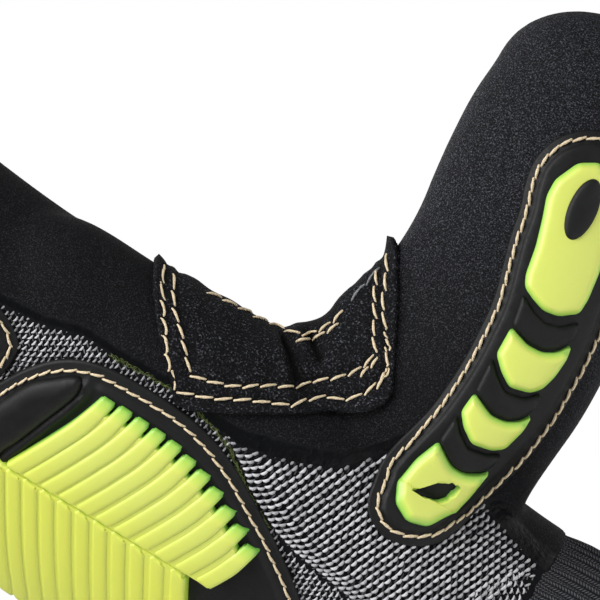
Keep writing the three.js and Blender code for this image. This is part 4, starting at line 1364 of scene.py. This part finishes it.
def knitPiece(name, places, normals, along, length, width, tilt, bulge, spread, behindShade):
    # Bright legs of the loops over thin ones that lean the other way and are painted darker, as painted shade
    # between the rows
    aside = unit(np.cross(along, normals)) * spread
    front = knitLayer(places, normals, along, length, width, tilt, bulge, 1.0)
    behind = knitLayer(places + aside, normals, along, length * 0.8, width * 0.55, -tilt - 35,
                       bulge * 0.45, behindShade)
    return dress(joinPieces([front, behind], name), "yarn")


def handStitches():
    # Places of the hand's and the fingers' loops in the back view, every other row shifted by half a loop
    flat = []
    for row, z in enumerate(np.arange(knit["foot"], knit["top"], knit["course"])):
        back = np.roll(palmRing(*palmAt(z), z, sides=360), 90, axis=0)[:181]
        travel = np.concatenate([[0], np.cumsum(np.linalg.norm(np.diff(back, axis=0), axis=1))])
        travel -= travel[90]
        count = int(travel[-1] / knit["wale"])
        at = (np.arange(-count, count) + 0.5 * (row % 2)) * knit["wale"]
        flat += [(x, z) for x in np.interp(at, travel, back[:, 0])]
    for x0, lean, fork, top, wide, thick, bend in fingerRows.values():
        slope = math.tan(math.radians(lean))
        first = min(knit["top"], fork)
        for row, z in enumerate(np.arange(first, top - coating["stripEnd"] + 1, knit["course"])):
            for k in range(-8, 8):
                turn = (k + 0.25 + 0.5 * (row % 2)) * knit["wale"] / wide
                flat.append((x0 + (z - fork) * slope + wide * math.sin(turn), z))
    return np.array(flat)


def uncovered(places, asked, depth):
    # Places on the bare knit, not under a guard, and not beyond the silhouette of the view they were drawn in
    keep = (bareDepth(places) > depth) & (np.abs(asked) < 0.3)
    keep &= ~underGuards(places, backView, backLines, knit["hidden"])
    return keep & ~underGuards(places, thumbView, [thumbLine], knit["hidden"])


flat = handStitches()
places, normals = layOn(backView, flat[:, 0], flat[:, 1])
line = np.array(yarnLine)[::-1]
beyondYarn = (places @ outward) - np.interp(places[:, 2] - glove["crotch"], line[:, 1], line[:, 0])
steep = knit["columnWay"][1] / knit["columnWay"][0]
seamFoot = glove["crotch"] + knit["thumbFoot"] + steep * (places @ outward + 1)
thumbSide = (beyondYarn > -0.4) & (places[:, 2] < glove["crotch"] - 1) & (places[:, 2] > seamFoot)
keep = uncovered(places, places[:, 0] - flat[:, 0], -0.3) & ~thumbSide
places, normals = places[keep], normals[keep]
along = np.tile(towardThumb, (len(places), 1))
knitPiece("handKnit", places, normals, along, **knit["handStroke"])


def thumbStitches():
    # Columns that start at the yarn line, turn and run out along the thumb
    starts = resample(np.array(yarnLine)[5:], knit["thumbWale"])
    flat, ways = [], []
    for start in starts:
        here = start.copy()
        travelled = 0.0
        while travelled < knit["columnLength"]:
            turn = smoothStep(travelled, *knit["columnTurn"])
            way = unit(np.array(knit["firstWay"]) * (1 - turn) + np.array(knit["columnWay"]) * turn)
            here = here + way * knit["thumbCourse"]
            travelled += knit["thumbCourse"]
            flat.append(here.copy())
            ways.append(way)
    return np.array(flat), np.array(ways)


flat, ways = thumbStitches()
places, normals = layOn(thumbView, flat[:, 0], flat[:, 1])
keep = uncovered(places, places @ outward - flat[:, 0], -0.2) & (places[:, 2] > knit["foot"])
along = np.outer(ways[:, 0], outward) + np.outer(ways[:, 1], upward)
knitPiece("thumbKnit", places[keep], normals[keep], along[keep], **knit["thumbStroke"])


yarnEnds = {  # mm, and the turn in radians
    "every": 0.3,
    "strands": 2,
    "turn": 0.35,
    "length": (0.7, 1.6),
    "aside": 0.1,
    "bend": 0.25,
    "radius": 0.042,
}


def yarnFuzz():
    # Stray ends of lime yarn along the seam
    line = resample(np.array(yarnLine)[:11], yarnEnds["every"])
    way = unit(np.gradient(line, axis=0))
    flat, rise = [], []
    for place, direction in zip(line, way):
        for strand in range(yarnEnds["strands"]):
            turn = chance.normal(0, yarnEnds["turn"])
            c, s = math.cos(turn), math.sin(turn)
            spin = np.array([direction[0] * c - direction[1] * s, direction[0] * s + direction[1] * c])
            length = chance.uniform(*yarnEnds["length"])
            middle = place + chance.normal(0, yarnEnds["aside"], 2)
            bend = chance.normal(0, yarnEnds["bend"])
            for t in (-0.5, -0.17, 0.17, 0.5):
                side = np.array([-spin[1], spin[0]]) * bend * (0.25 - t * t) * 4
                flat.append(middle + spin * length * t + side)
                rise.append(0.12 + 0.3 * (0.25 - t * t) * 4 * chance.uniform(0.6, 1.2))
    flat = np.array(flat)
    places, normals = layOn(thumbView, flat[:, 0], flat[:, 1], np.array(rise))
    fuzz = batchTubes("limeYarnFuzz", places.reshape(-1, 4, 3), normals.reshape(-1, 4, 3),
                      yarnEnds["radius"] * np.array([0.6, 1, 1, 0.5]), sides=5)
    tubes = len(places) // 4
    shade = np.repeat(chance.uniform(0.3, 1.0, tubes), len(fuzz.data.vertices) // tubes)
    writeAttribute(fuzz, "shade", shade)
    return fuzz


dress(yarnFuzz(), "limeYarn")

# Cuff and hem
print("glove: knitting the cuff")
cuff = {"ribs": 60, "perRib": 8, "rise": 0.55, "top": 69.0, "foot": 4.0, "wall": 2.4, "course": 1.25}


def evenRing(z, grow, columns, wave=0.0):
    # Evenly spaced points round the hand's tube, moved outwards by grow and by a wave
    x, wide, thick = palmAt(z)
    dense = palmRing(x, wide, thick, z, sides=720)
    length = np.linalg.norm(np.roll(dense, -1, axis=0) - dense, axis=1).sum()
    even = resample(dense, length / columns, closed=True)
    way = unit(np.roll(even, -1, axis=0) - np.roll(even, 1, axis=0))
    outside = np.cross(way, upward)
    outside *= np.sign(np.sum(outside * (even - np.array([x, 0, z])), axis=1))[:, None]
    return even + outside * np.broadcast_to(grow + wave, len(even))[:, None]


def wrap(name, rings):
    # A closed band: rings joined one to the next and the last to the first
    sides, rows = len(rings[0]), len(rings)
    faces = []
    for i in range(rows):
        n = (i + 1) % rows
        faces += [(i * sides + k, i * sides + (k + 1) % sides, n * sides + (k + 1) % sides, n * sides + k)
                  for k in range(sides)]
    piece = meshPiece(name, np.vstack(rings), faces)
    normalsOutside(piece)
    return piece


columns = cuff["ribs"] * cuff["perRib"]
ribWave = np.cos(np.arange(columns) / cuff["perRib"] * 2 * np.pi)
ribWave = np.sign(ribWave) * np.abs(ribWave) ** 0.7
rings = []
heights = np.arange(cuff["foot"], cuff["top"] + 0.1, 2.5)
for z in heights:
    fade = smoothStep(z, 70, 60)
    closing = 0.5 * smoothStep(z, 62, 69)
    rings.append(evenRing(z, 0.15 - closing, columns, cuff["rise"] * fade * ribWave))
for z in heights[::-4]:
    rings.append(evenRing(z, -cuff["wall"], columns, 0.3 * ribWave))
cuffPiece = wrap("ribCuff", rings)
weave = cuffPiece.data.uv_layers.new(name="weave")
loops = np.empty(len(cuffPiece.data.loops), dtype=np.int32)
cuffPiece.data.loops.foreach_get("vertex_index", loops)
column = loops % columns
uv = np.stack([column / cuff["perRib"] * 2, pointsOf(cuffPiece)[loops, 2] / cuff["course"]], axis=1)
weave.data.foreach_set("uv", uv.ravel().astype(np.float32))
dress(cuffPiece, "cuff")
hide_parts("knit_cuff")

cuffHem = {
    # round the mouth's edge: distance outwards and height
    "band": [(0.5, 5.9), (0.95, 5.2), (1.0, 3), (0.9, 0.9), (0.2, 0.15), (-1.3, 0.0), (-2.8, 0.2),
             (-3.3, 1.2), (-3.3, 3), (-3.0, 5.6), (-1.3, 5.7)],
    "overlock": [(0.75, 6.2), (1.2, 4.8), (1.3, 3), (1.15, 1.2), (0.5, 0.0), (-0.8, -0.15),
                 (-2.2, -0.15), (-3.3, 0.6)],
    "bandSides": 200,
    "stitches": 112,
    "thread": 0.42,
    "taper": np.array([0.8, 1, 1, 1, 1, 1, 1, 0.8]),
}
band = wrap("hemBand", [evenRing(max(z, 0.0), grow, cuffHem["bandSides"]) for grow, z in cuffHem["band"]])
hem = dress(band, "hemThread")
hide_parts("cuff_hem")
turns = [evenRing(max(z, 0.0), grow, cuffHem["stitches"] * 4) for grow, z in cuffHem["overlock"]]
paths = np.stack([np.roll(turn, -k // 2, axis=0)[::4] for k, turn in enumerate(turns)], axis=1)
centre = np.array([0, 0, 3.0])
downward = smoothStep(np.arange(len(turns)), 3, 5)[None, :, None] * upward * 60
ups = unit((paths - centre) * np.array([1, 1, 0]) - downward)
overlock = batchTubes("hemOverlock", paths, ups, cuffHem["thread"] * cuffHem["taper"], sides=6)
dress(overlock, "hemThread")

# Floor, camera and lights
bpy.ops.mesh.primitive_circle_add(vertices=96, radius=0.45, fill_type="NGON", location=(0.02, 0, 0))
floor = bpy.context.object
floor.name = "studioFloor"
floor.data.materials.append(looks["floor"])
floor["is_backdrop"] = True

shot = {
    "aim": (42.25, 134.8),   # distance out and height of the picture's middle, mm
    "span": 115.0,           # mm across the picture
    "distance": 1000.0,
    "roll": math.radians(58),
    "sensor": 36,            # mm
    "ambient": 0.34,         # light from the white surroundings, which the camera sees at full white
}
camera = bpy.data.objects.new("camera", bpy.data.cameras.new("camera"))
bpy.context.scene.collection.objects.link(camera)
bpy.context.scene.camera = camera
aim = outward * shot["aim"][0] + sideward * lensView["plane"] + upward * shot["aim"][1]
camera.location = Vector((aim + sideward * shot["distance"]) * mm)
camera.data.lens = shot["sensor"] * shot["distance"] / shot["span"]
camera.data.clip_start, camera.data.clip_end = 0.05, 20
turnedRight = Vector(outward * math.cos(shot["roll"]) - upward * math.sin(shot["roll"]))
turnedUp = Vector(outward * math.sin(shot["roll"]) + upward * math.cos(shot["roll"]))
camera.rotation_mode = "QUATERNION"
camera.rotation_quaternion = Matrix((turnedRight, turnedUp, Vector(sideward))).transposed().to_quaternion()

world = bpy.data.worlds.new("studio")
bpy.context.scene.world = world
world.use_nodes = True
backdrop = world.node_tree.nodes["Background"]
seen = addNode(world.node_tree, "LightPath", output="Is Camera Ray")
strength = addNode(world.node_tree, "MapRange", {"Value": seen, "To Min": shot["ambient"]})
setInputs(world.node_tree, backdrop, {"Color": grey(1), "Strength": strength})
bpy.context.scene.view_settings.view_transform = "Standard"
bpy.context.scene.view_settings.look = "None"


def softLight(name, place, size, watts):
    # An area light at a place in mm that faces the middle of the picture
    bpy.ops.object.light_add(type="AREA", location=tuple(np.array(place) * mm))
    lamp = bpy.context.object
    lamp.name = name
    lamp.data.size = size
    lamp.data.energy = watts
    toward = Vector(aim * mm) - lamp.location
    lamp.rotation_euler = toward.to_track_quat("-Z", "Y").to_euler()


lamps = [  # mm outward, upward and sideward from the aim, size in metres, watts
    ("keyLight", (117, 509, 370), 0.35, 3.6),
    ("sideLight", (-268, 549, 192), 0.35, 2.5),
    ("palmLight", (0, 330, -430), 0.5, 1.1),
]
for name, (out, up, side), size, watts in lamps:
    softLight(name, aim + outward * out + upward * up + sideward * side, size, watts)

low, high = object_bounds()
